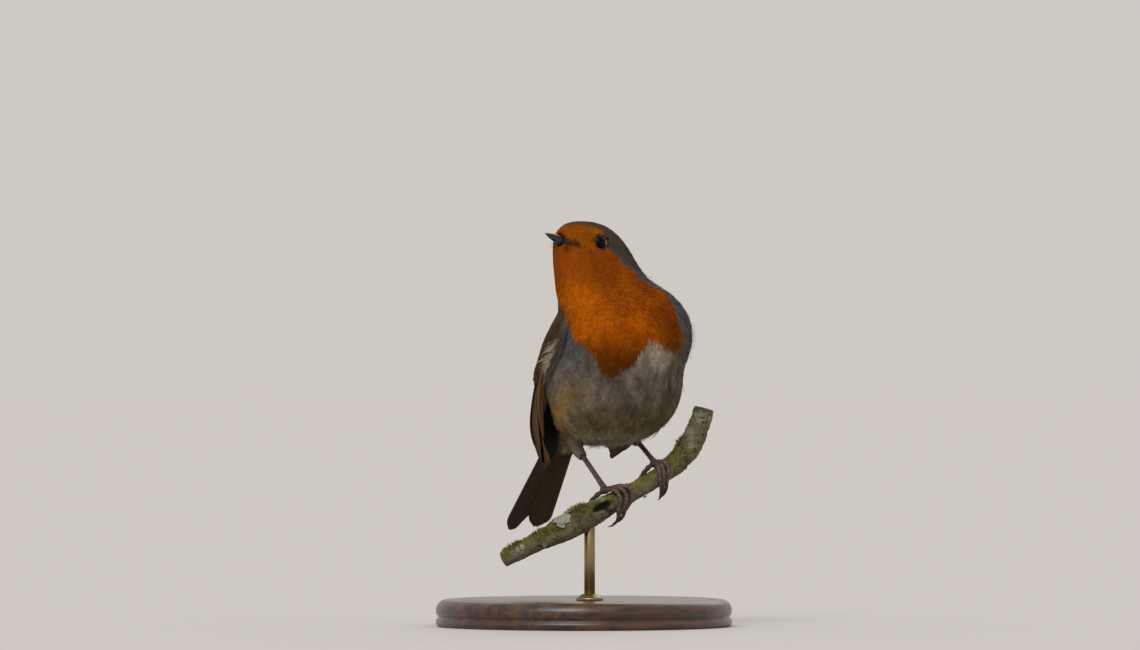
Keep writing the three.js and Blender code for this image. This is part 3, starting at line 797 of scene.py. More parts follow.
def wing_point(side, p, q, depth=0.0):
    """The folded wing's outer face: p runs down it and q from its leading to its trailing edge,
    on the straight line between the two edge curves, raised by the swell times
    sqrt(4q(1 - q)), and lowered by the depth."""
    p, q, depth = np.broadcast_arrays(p, q, depth)
    lead, trail = along(LEADING, p), along(TRAILING, p)
    out = unit(np.cross(trail - lead, heading(LEADING, p) + heading(TRAILING, p)))
    inside = np.clip(q, 0, 1)
    rise = along(SWELL, p) * np.sqrt(4 * inside * (1 - inside)) - depth
    point = lead + (trail - lead) * q[..., None] + out * rise[..., None]
    return to_left(point, p) if side > 0 else point


def wing_out(side, p, q):
    """The wing face's normal, from two short steps on it."""
    here = wing_point(side, p, q)
    down = wing_point(side, p + 0.01, q) - here
    back = (wing_point(side, p, np.clip(q + 0.02, 0, 1))
            - wing_point(side, p, np.clip(q - 0.02, 0, 1)))
    return unit(np.cross(back, down)) * (1 if side < 0 else -1)


def under_wings(points):
    """Whether a place on the body is covered by a folded wing."""
    covered = np.zeros(points.shape[:-1], bool)
    p, q = np.meshgrid(np.linspace(0.1, 0.6, 18), np.linspace(0.16, 0.86, 12), indexing="ij")
    for side in (-1, 1):
        for spot in wing_point(side, p, q, 2.5).reshape(-1, 3):
            covered |= dot(points - spot, points - spot) < WING_SHADE**2
    return covered


# ---------------------------------------------------------------- coat

STEPS = 5  # stretches of a feather's shaft
SHAFT_STEPS = np.linspace(0, 1, STEPS + 1)[None]
BARB_STARTS = (0.02, 0.5)  # where along the shaft barbs leave it
BARB_STATIONS = (0.0, 0.55, 1.0)  # a barb's root, middle and tip, along it
BARB_HALVES = (0.45, 0.5)  # half its width at the root and the middle, over its width
VANE_ROUNDING = 0.34  # how far the outermost barbs end short of the feather's tip
TIP_RAGGED = 0.06  # how unevenly the tips stand up, in millimetres
BARB_TWIST = 0.12
BARB_BEND = 0.25  # how far the normals lean to each side of a barb
ROOT_SHADES = (0.6, 0.6, 0.08, 0.08, 0.0)  # how downy a barb's five points are


def shafts(root, length, swerve):
    """Each feather's shaft on the coat's outline, and its normals: equal steps along the lie,
    turned aside a little, each brought back onto the surface along its normal."""
    normal = outward(root)
    path, normals = [root], [normal]
    way = lie(root, normal)
    way = unit(way + np.cross(normal, way) * swerve[:, None])
    for _ in range(STEPS):
        ahead = path[-1] + way * (length / STEPS)[:, None]
        out = outward(ahead)
        ahead = onto_surface(ahead, out)
        way = way * 0.5 + lie(ahead, out) * 0.5
        way = unit(way - out * dot(way, out)[:, None])
        path.append(ahead)
        normals.append(out)
    return np.stack(path, 1), np.stack(normals, 1)


def tufts(path, normal, width, count, strand, root_level, tip_level, patch, colour_at,
          settle=None, ragged=0.22):
    """A fan of barbs for each feather. A barb leaves the shaft part way down, swings out to its
    side of the vane as the square root of its way along, and ends short of the feather's tip by
    the square of that side, plus a ragged share. It rises from the root's level to the tip's,
    and narrows to a point. Its normals are the outline's, bent a little to each side, so that
    the barbs of a feather shade as one soft web."""
    feathers, steps = path.shape[0], path.shape[1] - 1
    width, strand, root_level, tip_level = (
        np.broadcast_to(x, feathers)[:, None] for x in (width, strand, root_level, tip_level))
    each = (feathers, count)
    aside = np.linspace(-1, 1, count)[None] + chance.uniform(-0.7, 0.7, each) / count
    begin = chance.uniform(*BARB_STARTS, each)
    end = 1 - VANE_ROUNDING * aside**2 - chance.uniform(0, ragged, each)
    centre, out = [], []
    rows = np.arange(feathers)[:, None]
    for tau in BARB_STATIONS:
        a = np.clip(lerp(begin, end, tau), 0, 1)
        x = np.clip(a * steps, 0, steps - 1e-6)
        i = x.astype(int)
        w = (x - i)[..., None]
        point = path[rows, i] * (1 - w) + path[rows, i + 1] * w
        n = unit(normal[rows, i] * (1 - w) + normal[rows, i + 1] * w)
        way = unit(path[rows, i + 1] - path[rows, i])
        swing = aside * (0.15 + 0.85 * math.sqrt(tau)) * width / 2
        point = point + np.cross(n, way) * swing[..., None]
        if settle is not None:
            point = point - n * settle(point)[..., None]
        tip = tip_level + chance.normal(0, TIP_RAGGED, each) * tau
        centre.append(point + n * lerp(root_level, tip, a**0.35)[..., None])
        out.append(n)
    twist = chance.uniform(-BARB_TWIST, BARB_TWIST, (*each, 1))
    five, facing = [], []
    for k, share in enumerate(BARB_HALVES):
        beside = unit(np.cross(out[k], unit(centre[k + 1] - centre[k]))) + out[k] * twist
        half = beside * (strand[..., None] * share)
        five += [centre[k] - half, centre[k] + half]
        facing += [unit(out[k] + beside * tilt) for tilt in (-BARB_BEND, BARB_BEND)]
    points = np.stack([*five, centre[2]], 2)
    facing = np.stack([*facing, unit(out[2] - way * 0.2)], 2)
    shade = chance.normal(1, 0.07, (feathers, 1, 1)) * chance.normal(1, 0.06, (*each, 1))
    colour = colour_at(centre[2])
    downy = DOWN * 0.5 + colour * 0.4
    tint = np.stack([blend(colour, downy, share) for share in ROOT_SHADES], 2)
    u = np.stack([aside - 0.15, aside + 0.15, aside - 0.15, aside + 0.15, aside], -1) * PATCH * 0.85
    v = np.broadcast_to(np.array([-1, -1, 0, 0, 1]) * PATCH, u.shape)
    spot = np.stack([u, v], -1) + patch[:, None, None]
    return ribbons(points, spot.reshape(-1, 2), tint * shade[:, :, None], facing)


# The surface once more as fine cells, to draw the feathers' roots from.
CELL_ROWS, CELL_COLUMNS = 300, 220
cell_station = np.linspace(0.01, 0.975, CELL_ROWS + 1)
cell_turn = 0.5 + np.linspace(0, 1, CELL_COLUMNS + 1)
corner = body_point(*np.meshgrid(cell_station, cell_turn, indexing="ij"))
cell_area = np.linalg.norm(np.cross(corner[1:, :-1] - corner[:-1, :-1],
                                    corner[:-1, 1:] - corner[:-1, :-1]), axis=-1)
cell_middle = (corner[1:, 1:] + corner[:-1, :-1]) / 2
cell_reach = gap(cell_middle, BILL_BASE)
cell_f, cell_l, cell_u = in_head(cell_middle)
bill_ring = np.hypot(cell_l / 1.7, (cell_u + 0.5) / np.where(cell_u > -0.5, 1.5, 2.0))
cell_open = ~under_wings(cell_middle) & (from_eye(cell_middle) > EYE_RADIUS + 0.15)
cell_open &= ~((cell_f > 11.0) & (bill_ring < 1))


def draw_roots(wanted):
    """Roots spread evenly over the body, and their places on the skin's unwrap: the wanted
    number in each cell is added up from cell to cell, and a root falls wherever the sum passes a
    whole number. Its place in its cell is random, between the cell's corners."""
    total = np.cumsum((wanted * cell_area * cell_open).ravel())
    picks = np.arange(int(total[-1])) + chance.uniform(0, 1, int(total[-1]))
    cell = np.minimum(np.searchsorted(total, picks), total.size - 1)
    i, j = np.divmod(cell, CELL_COLUMNS)
    a, b = chance.uniform(0, 1, (2, len(cell)))
    root = sum(corner[i + down, j + across] * (part_down * part_across)[:, None]
               for across, part_across in ((0, 1 - b), (1, b))
               for down, part_down in ((0, 1 - a), (1, a)))
    station = lerp(cell_station[i], cell_station[i + 1], a)
    turn = lerp(cell_turn[j], cell_turn[j + 1], b) - 0.5
    return root, np.stack([turn, station], -1)


def coat(name, near, far, barbs, slot):
    """The contour feathers whose roots lie between two distances from the bill's base."""
    band = (cell_reach >= near) & (cell_reach < far)
    root, patch = draw_roots(np.interp(cell_reach, REACHES, FEATHERS_PER_MM2) * band)
    reach, depth = gap(root, BILL_BASE), coat_depth(root)
    many = len(root)
    size = chance.uniform(0.85, 1.15, many)
    path, normal = shafts(root, np.interp(reach, REACHES, FEATHER_LENGTHS) * size,
                          chance.normal(0, 0.10, many))
    shift = chance.normal(0, 0.35, (many, 1, 3))
    root_level = -depth * lerp(0.5, 0.85, ramp(reach, 20, 34))
    tip_level = chance.uniform(-0.35, 0.12, many) * np.minimum(1, depth / 2)
    coat_piece(name, tufts(path, normal, np.interp(reach, REACHES, FEATHER_WIDTHS) * size, barbs,
                           np.interp(reach, REACHES, BARB_WIDTHS), root_level, tip_level, patch,
                           lambda at: pigment(at + shift), settle=outside))


COAT_BANDS = [("face_feathers", 0, 9, "rust_feathers"),
              ("crown_and_throat_feathers", 12, 12, "rust_feathers"),
              ("neck_feathers", 24, 15, "rust_feathers"),
              ("breast_feathers", 36, 17, "rust_feathers"),
              ("belly_feathers_upper", 50, 18, "belly_feathers"),
              ("belly_feathers_lower", 62, 18, "belly_feathers"),
              ("vent_feathers", 74, 18, "belly_feathers")]  # name, first reach, barbs, slot
band_ends = [start for _, start, _, _ in COAT_BANDS[1:]] + [200]
for (name, start, barbs, slot), end in zip(COAT_BANDS, band_ends):
    coat(name, start, end, barbs, slot)

# ---------------------------------------------------------------- eyes, lids and bill

BILL_ROOT, BILL_TIP = 9.0, 22.6
BILL_LEVEL = -0.5
BILL_WIDTH, BILL_RISE, BILL_DROP = 5.6, 2.6, 3.2
GAPE = 0.04  # what is left open between the halves of the bill


def eyeball(side):
    """A sphere by rings about the eye's own axis, its front flattened a little as a cornea is."""
    polar = np.linspace(0.02, np.pi - 0.02, 40)[:, None]
    turn = circle(56)[None]
    front = np.cos(polar)
    return tube(EYES[side]
                + EYE_SIDES[side] * (EYE_RADIUS * front * np.where(front > 0, CORNEA, 1))[..., None]
                + FORWARD * (EYE_RADIUS * np.sin(polar) * np.cos(turn))[..., None]
                + UP * (EYE_RADIUS * np.sin(polar) * np.sin(turn))[..., None])


def lids(side):
    """The bare rim of the lids: a thin ring that lies on the eyeball at a constant angle from its
    axis, a little taller than wide, scalloped into tiny beads. It is dark in front and above, and
    a pale crescent below and behind."""
    rows, cols = 96, 10
    turn = circle(rows)
    polar = np.radians(66 + 2.5 * np.cos(turn) ** 2)
    level = FORWARD * np.cos(turn)[:, None] + UP * np.sin(turn)[:, None]
    out = EYE_SIDES[side] * (CORNEA * np.cos(polar))[:, None] + level * np.sin(polar)[:, None]
    line = EYES[side] + out * EYE_RADIUS
    beside = np.cross(out, unit(np.roll(line, -1, 0) - np.roll(line, 1, 0)))
    angle = circle(cols)[None, :, None]
    pale = ramp(np.cos(turn - np.radians(215)), -0.1, 0.6)
    radius = (0.24 + 0.15 * pale + 0.03 * np.cos(turn * 30))[:, None, None]
    section = out[:, None] * np.cos(angle) * 0.9 + beside[:, None] * np.sin(angle) * 1.25
    index = np.arange(rows * cols).reshape(rows, cols)
    onward, up = np.roll(index, -1, 0), np.roll(index, -1, 1)
    faces = np.stack([index, up, np.roll(onward, -1, 1), onward], -1).reshape(-1, 4)
    tint = blend(linear("#1A1512"), linear("#B4946A"), pale)
    return {"points": (line[:, None] + section * radius).reshape(-1, 3), "faces": [faces],
            "uv": [np.zeros(faces.shape + (2,))], "tint": np.repeat(tint, cols, 0)}


for side in EYES:
    piece(f"eyeball_{side}", eyeball(side), eye_gloss, (f"eye_{side}",))
    piece(f"eyelid_{side}", lids(side), lid_skin)


def bill_half(side, height, tip):
    """Half of the bill: an arch on one side of the gape line, narrowing as (1 - k)^0.66, with a
    ridge along its middle, a slight overhang at the gape, and on the upper half a shallow slot for
    each nostril. Its rounded point turns down a little."""
    k = np.linspace(0, 1, 60)[:, None] ** 0.9
    angle = np.pi * np.linspace(0, 1, 33)[None]
    taper = (1 - k) ** 0.66 * 0.94 + 0.06
    f = lerp(BILL_ROOT, tip, k) + 0 * angle
    droop = BILL_LEVEL - 0.5 * k * k
    ridge = 0.16 * bell(angle, np.pi / 2, 0.28) * (1 - 0.6 * k)
    across = np.cos(angle) * BILL_WIDTH / 2 * taper
    rise = np.sin(angle) * (height * taper - 0.16) + ridge + GAPE / 2
    if side > 0:
        nostril = bell(f, 13.6, 0.9) * bell(np.abs(np.cos(angle)), 0.72, 0.13)
        rise = rise - 0.32 * nostril
        across = across * (1 - 0.12 * nostril)
    flat = np.linspace(1, -1, 9)[None, 1:-1] * -BILL_WIDTH / 2 * taper  # the half's closed face
    across = np.concatenate([across, flat], 1)
    rise = np.concatenate([rise, np.full(flat.shape, GAPE / 2)], 1)
    f = np.concatenate([f, f[:, : flat.shape[1]]], 1)
    return tube(on_head(f, across, side * rise + droop))


piece("upper_bill", bill_half(1, BILL_RISE, BILL_TIP), horn, ("bill_upper",))
piece("lower_bill", bill_half(-1, BILL_DROP, BILL_TIP - 0.7), horn, ("bill_lower",))


def gape(side):
    """The bare corner of the mouth: a dark ridge sunk in the skin from the bill's corner back
    along the cheek, thinning as (1 - t)^0.6. Its near-black is partly the gape's own colour and
    partly painted shade in the fold."""
    f, out, u = along([(13.8, 1.6, -1.2), *GAPE_LINE[:3]], np.linspace(0, 0.92, 40)).T
    path = on_head(f, side * out, u - 0.35)
    t = np.linspace(0, 1, 40)[:, None]
    for _ in range(3):
        path = path - outward(path) * (outside(path) + 0.45)[:, None] * ramp(t, 0.1, 0.3)
    shape = tube(rings_round(path, 0.95 * (1 - t) ** 0.6 + 0.1, UP, 14))
    # near-black: the gape's own dark together with painted shade in the fold
    shape["tint"] = np.broadcast_to(linear("#15110F"), shape["points"].shape)
    return shape


piece("gape_corners", joined([gape(1), gape(-1)]), lid_skin)


BRISTLES, NASAL_FEATHER_DRAWS = 110, 1500


def bristles():
    """Hairs round the bill's root: each a thin ribbon on a quadratic curve, from beside the gape
    or under the chin, forwards and outwards."""
    count = BRISTLES
    side = np.where(np.arange(count) % 2 == 0, 1.0, -1.0)
    rung = chance.uniform(0, 1, count)
    start = on_head(lerp(13.6, 11.6, rung), side * lerp(2.3, 4.4, rung),
                    lerp(-0.4, -3.4, chance.uniform(0, 1, count)))
    way = unit(FORWARD * chance.uniform(0.8, 1.3, (count, 1))
               + LEFT * (side * chance.uniform(0.25, 0.8, count))[:, None]
               - UP * chance.uniform(0.1, 0.9, (count, 1)))
    length = chance.uniform(2.2, 4.6, count)[:, None]
    points = ribbon(start, start + way * length * 0.55 + UP * 0.12,
                    start + way * length - UP * length * 0.12,
                    unit(np.cross(way, UP)) * 0.055, 1, 0.7)
    spot = ribbon_patch(np.tile((0.3, 0.1), (count, 1)))
    return ribbons(points, spot, linear("#15100D"))


coat_piece("bill_bristles", bristles())


def nasal_feathers():
    """Short feathers that lie forwards over the bill's root, all round it but for the corners of
    the mouth: each a pointed ribbon that starts on an ellipse a little outside the bill."""
    turn = chance.uniform(0, 2 * np.pi, NASAL_FEATHER_DRAWS)
    turn = turn[np.abs(np.sin(turn) + 0.12) > 0.3]
    count = len(turn)
    upward = np.sin(turn)
    grow = chance.uniform(0.92, 1.22, count)
    start = on_head(12.0, 2.3 * grow * np.cos(turn), 2.1 * grow * upward - 0.6)
    for _ in range(5):
        start = onto_surface(start, FORWARD, -0.35)
    out = LEFT * np.cos(turn)[:, None] + UP * upward[:, None]
    way = unit(FORWARD + out * chance.uniform(-0.30, 0.15, (count, 1))
               + np.cross(FORWARD, out) * chance.normal(0, 0.16, (count, 1)))
    length = chance.uniform(0.8, 1.6, (count, 1)) * lerp(0.6, 1.0, ramp(upward, 0.0, 0.6))[:, None]
    points = ribbon(start, start + way * length * 0.5 + out * 0.06,
                    start + way * length - out * 0.05, unit(np.cross(out, way)) * 0.075, 1, 0.8)
    spot = ribbon_patch(np.stack([turn / (2 * np.pi), np.full(count, 0.05)], -1))
    # painted shade: the feathers under and beside the bill's root are darkened; only the top ones
    # keep the face's colour
    base = blend(pigment(start - FORWARD * 1.5), CREASE_SHADE, ramp(upward, 0.75, 0.2) * 0.9)
    base = base * chance.uniform(0.6, 1.05, (count, 1))
    tint = np.stack([base * 0.7, base * 0.7, base, base, base], 1)
    return ribbons(points, spot, tint, np.repeat(out, 5, 0))


coat_piece("nasal_feathers", nasal_feathers())

# ---------------------------------------------------------------- quills of the wings and tail

WING_BROWN = linear("#523F28")
WING_DUSK = linear("#2E251B")  # the dark of primaries and their coverts
WING_EDGE = linear("#8A6C48")
WING_RUSSET = linear("#6A4C31")
# painted shadow: the black of the space under the right wing
WING_SHADOW_BLACK = linear("#030303")
COVERT_TIP = linear("#82653F")
UNDERWING = linear("#675C4C")
TAIL_BROWN = linear("#4E3F2F")
TAIL_OLIVE = linear("#514830")
SHAFT = linear("#241A12")


def ring_of(top, under):
    """Rows of a blade's upper side, then of its lower side back again without the edges."""
    return np.concatenate([top, under[:, -2:0:-1]], 1)


def vane(surface_at, rows, half_width, tip, thickness, shades, frayed=0.0, shaft_at=-0.25,
         inner=0.8, outer=-1, under=None):
    """One quill feather: a thin closed blade on a surface. surface_at gives its middle line's
    neighbourhood at (a, b), a along it and b across it from -1 to 1. Its outline is full width to
    near the tip and then rounded as sqrt(1 - x^2), its rows spaced as a sine there. A thick web is
    dished by b^2, a shaft ridge runs down it, and its two faces meet at the edges. Its UV is
    across and along in centimetres, the along falling away from the shaft as the barbs slant.
    shades are its web, edge and tip, and its lower face is the upper's colour times inner, a
    painted shade on the face turned away from the light, or under. The pale edge is on its outer
    side."""
    columns = 11
    straight = rows * 3 // 5
    end = np.sin(np.linspace(0, np.pi / 2, rows - straight))
    end = np.concatenate([np.zeros(straight), end])[:, None]
    a = np.concatenate([np.linspace(0, 1, straight, endpoint=False), np.ones(rows - straight)])
    a = a[:, None] * (1 - tip) + tip * end
    b = np.linspace(-1, 1, columns)[None]
    outline = np.sqrt(np.maximum(1 - end**2, 0.0)) * lerp(0.55, 1.0, ramp(a, 0, 0.3)) + 0.02
    down = a + frayed * (chance.uniform(-1, 1, (1, columns)) * end**3)
    across = b * outline * half_width
    body = thickness * (0.35 + 0.65 * np.sqrt(np.maximum(0, 1 - b**2)))
    ridge = 0.7 * thickness * bell(b, shaft_at, 0.07) * (1 - 0.7 * a)
    dish = 1.8 * max(thickness - 0.12, 0) * b**2
    top = surface_at(down, across, -ridge + dish)
    lower = surface_at(down, across, ridge * 0.6 + dish + body * (1 - b**6))
    shape = tube(ring_of(top, lower))
    steps = gap(top[1:, columns // 2], top[:-1, columns // 2])
    from_shaft = np.abs(b - shaft_at) * outline * half_width
    slant = np.concatenate([[0], np.cumsum(steps)])[:, None] - 0.8 * from_shaft
    spot = np.stack([b * half_width + 0 * a, slant], -1) / 10
    spot = capped(ring_of(spot, spot))
    shape["uv"] = [spot[f] for f in shape["faces"]]
    web, edge, point = shades
    mottle = noise(np.stack([down * 9 + half_width, across, down * 0], -1), 1.3, 5)
    colour = layered(web * (0.85 + 0.3 * mottle[..., None]),
                     (edge, ramp(outer * b, 0.6, 0.95) * 0.8),
                     (point, ramp(a, 0.86, 1.0) * 0.6),
                     (SHAFT, bell(b, shaft_at, 0.08) * 0.8))
    lower_colour = colour * inner if under is None else np.broadcast_to(under, colour.shape)
    shape["tint"] = capped(ring_of(colour, lower_colour))
    return shape


def wing_quill(side, start, finish, width, depth, shades, tip=0.16, rows=18, thickness=0.22):
    """A wing feather from (p, q) to (p, q) on the wing's face, at depths below it from its root to
    its tip; q bends from the one to the other as a^0.8. Its width is in millimetres."""
    def at(a, across, lower):
        p = lerp(start[0], finish[0], a)
        chord = gap(along(TRAILING, p), along(LEADING, p))
        q = lerp(start[1], finish[1], np.clip(a, 0, 1) ** 0.8) + across / chord
        return wing_point(side, p, q, lerp(depth[0], depth[1], a) + lower)
    # the right wing's lower faces take 0.3 of the upper colour: painted shade under the folded wing
    return vane(at, rows, width / 2, tip, thickness, shades, frayed=0.012, inner=0.3,
                under=UNDERWING if side > 0 else None)


WING_INNER = [(-19, 12, 104), (-19.5, 15, 92), (-18.5, 20, 80), (-16.5, 26, 69), (-14.5, 32, 60)]


def inner_quill(side, share, reach=0.97, ahead=0.0, shades=None, tip=0.06):
    """One of the feathers seen from inside the wing: blades on the surface ruled between the
    leading edge and a line beside the body, each lying a little behind the last."""
    def at(a, across, lower):
        p = lerp(0.22, reach - 0.06 * abs(share - 0.4), a)
        lead, inner = along(LEADING, p), along(WING_INNER, p)
        across_way = unit(inner - lead)
        behind = unit(np.cross(across_way, heading(LEADING, p)))
        lag = 1.0 + 0.5 * share - ahead + lower
        point = lead + (inner - lead) * share + across_way * across[..., None]
        point = point + behind * lag[..., None]
        return to_left(point, p) if side > 0 else point
    # on the right wing the blades are plain black: a painted shadow in the space under the wing
    if shades is None and side < 0:
        shades = (WING_SHADOW_BLACK, WING_SHADOW_BLACK, WING_SHADOW_BLACK)
    elif shades is None:
        shades = (lerp(WING_BROWN, BELLY_GREY, 0.5), BELLY_GREY, BELLY_GREY)
    return vane(at, 18, 1.9, tip, 0.2, shades, under=lerp(WING_BROWN, WING_DUSK, 0.3))


def wing(side):
    """The folded wing, from the deepest feather to the topmost. Primaries fan from the wrist to
    the tip, each lying under its inner neighbour; secondaries and then three broad tertials lie
    over them; greater and median coverts lie over all their roots."""
    feathers = []
    web, edge, dark = WING_BROWN, WING_EDGE, WING_DUSK

    def row(count, layout, **more):
        """Feathers laid out by their number k and their share t of the way along the row."""
        for k in range(count):
            feathers.append(wing_quill(side, *layout(k, k / (count - 1)), **more))

    # primaries, from the leading edge in
    row(9, lambda k, t: ((lerp(0.30, 0.34, t), lerp(0.09, 0.36, t)),
                         (lerp(0.90, 1.0, 1 - abs(t - 0.3)), lerp(0.11, 0.52, t)),
                         lerp(4.0, 6.0, t), (lerp(2.75, 1.75, t), lerp(1.7, 0.7, t)),
                         (lerp(dark, web, 0.75 if k < 2 else 0.45 + 0.2 * t),
                          lerp(edge, dark, 0.0 if k < 2 else 0.15), dark)),
        tip=0.1, rows=30, thickness=0.1)
    # blades that close the space between the wing and the body: on the right a black painted
    #     # shadow, on the left grey-brown inner webs
    feathers += [inner_quill(side, lerp(0.10, 0.95, k / 5)) for k in range(6)]
    if side < 0:  # and the brown outer webs that lie over them along the leading edge
        feathers += [
            inner_quill(side, 0.09, 0.78, 0.35, (WING_RUSSET, edge, WING_RUSSET), 0.6),
            inner_quill(side, 0.25, 0.60, 0.22, (WING_RUSSET * 0.8, edge, dark), 0.6)]
    # secondaries
    row(6, lambda k, t: ((lerp(0.30, 0.26, t), lerp(0.30, 0.62, t)),
                         (lerp(0.86, 0.80, t), lerp(0.36, 0.66, t)), 6.0,
                         (lerp(1.65, 1.1, t), lerp(0.65, 0.1, t)),
                         (lerp(dark, web, 0.5), edge, lerp(web, edge, 0.4))),
        tip=0.12, rows=26, thickness=0.1)
    # tertials
    row(3, lambda k, t: ((0.24, 0.62 + 0.1 * k), (0.80 - 0.09 * k, 0.66 + 0.1 * k), 8.0,
                         (1.0 - 0.2 * k, 0.25 - 0.1 * k), (web, edge, edge)), tip=0.2)
    # primary coverts and alula
    row(9, lambda k, t: ((0.16, 0.09 + 0.10 * t), (lerp(0.46, 0.40, t), 0.10 + 0.14 * t), 3.4,
                         (1.5 - 0.3 * t, 0.5 - 0.15 * t), (dark, lerp(edge, dark, 0.2), dark)),
        tip=0.22, rows=12)
    # greater coverts
    row(11, lambda k, t: ((0.14, 0.1 + 0.78 * t),
                          (lerp(0.44, 0.38, t) + 0.012 * (k % 2), 0.14 + 0.76 * t), 4.6,
                          (1.0 - 0.2 * t, 0.15 - 0.1 * t),
                          (web, lerp(edge, web, 0.15), COVERT_TIP)), tip=0.3, rows=12)
    # median coverts
    row(12, lambda k, t: ((0.06, 0.08 + 0.82 * t), (0.25 + 0.012 * (k % 2), 0.1 + 0.82 * t), 3.8,
                          (0.6, -0.15), (web, lerp(edge, web, 0.4), lerp(COVERT_TIP, web, 0.5))),
        tip=0.4, rows=9)
    return joined(feathers)


WING_LENGTH = 66.0  # millimetres to one unit of p
WING_COVER_DRAWS = 6400  # places drawn round a wing, of which those on its borders are kept
WHITE_FEATHERS = 55


SHORT = 0.01  # of p, to find a direction by


def draped(side, p, q):
    """The surface that the loose feathers round a wing lie on: the wing's face, carried on past
    its top and its edges, and mixed smoothly into the body's own outline there. Also gives how
    much of a point is wing, and its normal."""
    inside = np.clip(p, 0, 1)
    ahead = np.minimum(inside + SHORT, 1)
    way = unit(wing_point(side, ahead, q) - wing_point(side, ahead - SHORT, q))
    face = wing_point(side, inside, q) + way * ((p - inside) * WING_LENGTH)[..., None]
    body = face
    for _ in range(3):
        out = outward(body)
        body = onto_surface(body, out, 0.2)
    share = ramp(p, -0.06, 0.09) * ramp(q, -0.16, 0.10) * ramp(1.3 - q, 0.0, 0.3)
    face_out = wing_out(side, inside, np.clip(q, 0.02, 0.98))
    return lerp(body, face, share[..., None]), share, unit(lerp(out, face_out, share[..., None]))


def skin_patch(points):
    """A place on the skin's unwrap: the turn round the trunk and the station down it."""
    turn = (-trunk_turn(points) / 360 - 0.5) % 1.0
    station = lerp(AXIS_START, TURNS[1], on_axis(points, np.linspace(0, 1, len(AXIS_LINE))))
    return np.stack([turn, station], -1)


def wing_cover(side, name):
    """The soft feathers that tuck a folded wing into the body: the scapulars over its top, feathers
    down its inner edge, and the breast's side over its shoulder, where on the right a few long
    white ones fan out over the wing. Each is a fan of barbs whose shaft runs down the draped
    surface."""
    many = WING_COVER_DRAWS
    p, q = chance.uniform(-0.12, 0.5, many), chance.uniform(-0.24, 1.24, many)
    wander = chance.normal(0, 0.03, many)
    top = (p < 0.13 + wander + 0.03 * np.sin(q * 9)) & (p > 0.4 * (q - 0.5) ** 2 - 0.1 + wander)
    front = (q < 0.05 + wander) & (p > 0.04 + wander) & (p < 0.30 + wander)
    rear = (q > 0.90 + 0.16 * p + wander) & (p > 0.02 + wander)
    keep = top | front | rear
    p, q, front = p[keep], q[keep], front[keep]
    many = len(p)
    length = chance.uniform(6.0, 8.2, many)
    drift = np.where(front, 0.10, np.where(q > 0.85, -0.05, 0.0)) + chance.normal(0, 0.02, many)
    down = p[:, None] + SHAFT_STEPS * (length / WING_LENGTH)[:, None]
    beside = q[:, None] + SHAFT_STEPS * drift[:, None]
    path, share, normal = draped(side, down, beside)
    tip_share, tip_p, tip_q = share[:, -1:], down[:, -1:], beside[:, -1:]

    def colour(at):
        """The body's colour, mixed into a dappled brown by how much of the tip lies on wing."""
        dapple = 0.8 + 0.4 * noise(at * np.array((1, 1, 0.5)), 1.5, 61)
        brown = blend(MANTLE, WING_BROWN, ramp(tip_p, 0.0, 0.18)) * dapple[..., None]
        return blend(pigment(at), brown, tip_share * ramp(tip_q, -0.12, 0.06))

    shapes = [tufts(path, normal, 3.4, 15, 0.25, -0.9, chance.uniform(-0.1, 0.35, many),
                    skin_patch(path[:, 0]), colour)]
    if side < 0:  # the long white feathers
        many = WHITE_FEATHERS
        p, q = chance.uniform(0.15, 0.30, many), chance.uniform(-0.13, -0.03, many)
        length = chance.uniform(5.0, 8.5, many)
        down = p[:, None] + SHAFT_STEPS * (length / WING_LENGTH)[:, None]
        beside = q[:, None] + SHAFT_STEPS * chance.uniform(0.04, 0.15, many)[:, None]
        path, _, normal = draped(side, down, beside)
        tint = blend(WING_BROWN, BELLY_WHITE * 1.1, chance.uniform(0.3, 1.0, many)[:, None])
        shapes.append(tufts(path, normal, 0.9, 12, 0.22, -0.7, chance.uniform(0.2, 0.8, many),
                            skin_patch(path[:, 0]), lambda at: tint, ragged=0.35))
    coat_piece(name, joined(shapes))


for side, label in ((-1, "right"), (1, "left")):
    piece(f"wing_quills_{label}", wing(side), quills,
          (f"wing_{label}", f"secondaries_{label}", f"primaries_{label}"))
    wing_cover(side, f"wing_cover_{label}")

TAIL_ROOT, TAIL_TIP = np.array((-4.5, 36.0, 84.0)), np.array((-8.5, 69.0, 35.5))
TAIL_WIDTHS = (10.0, 18.5)
TAIL_NOTCH = 5.6
TAIL_THICKNESS = 1.5
TAIL_COVERTS = 900
TAIL_LINE = TAIL_TIP - TAIL_ROOT
TAIL_ACROSS = unit(-np.cross(np.cross((1.0, 0, 0), TAIL_LINE), TAIL_LINE))
TAIL_UP = unit(np.cross(TAIL_ACROSS, TAIL_LINE))


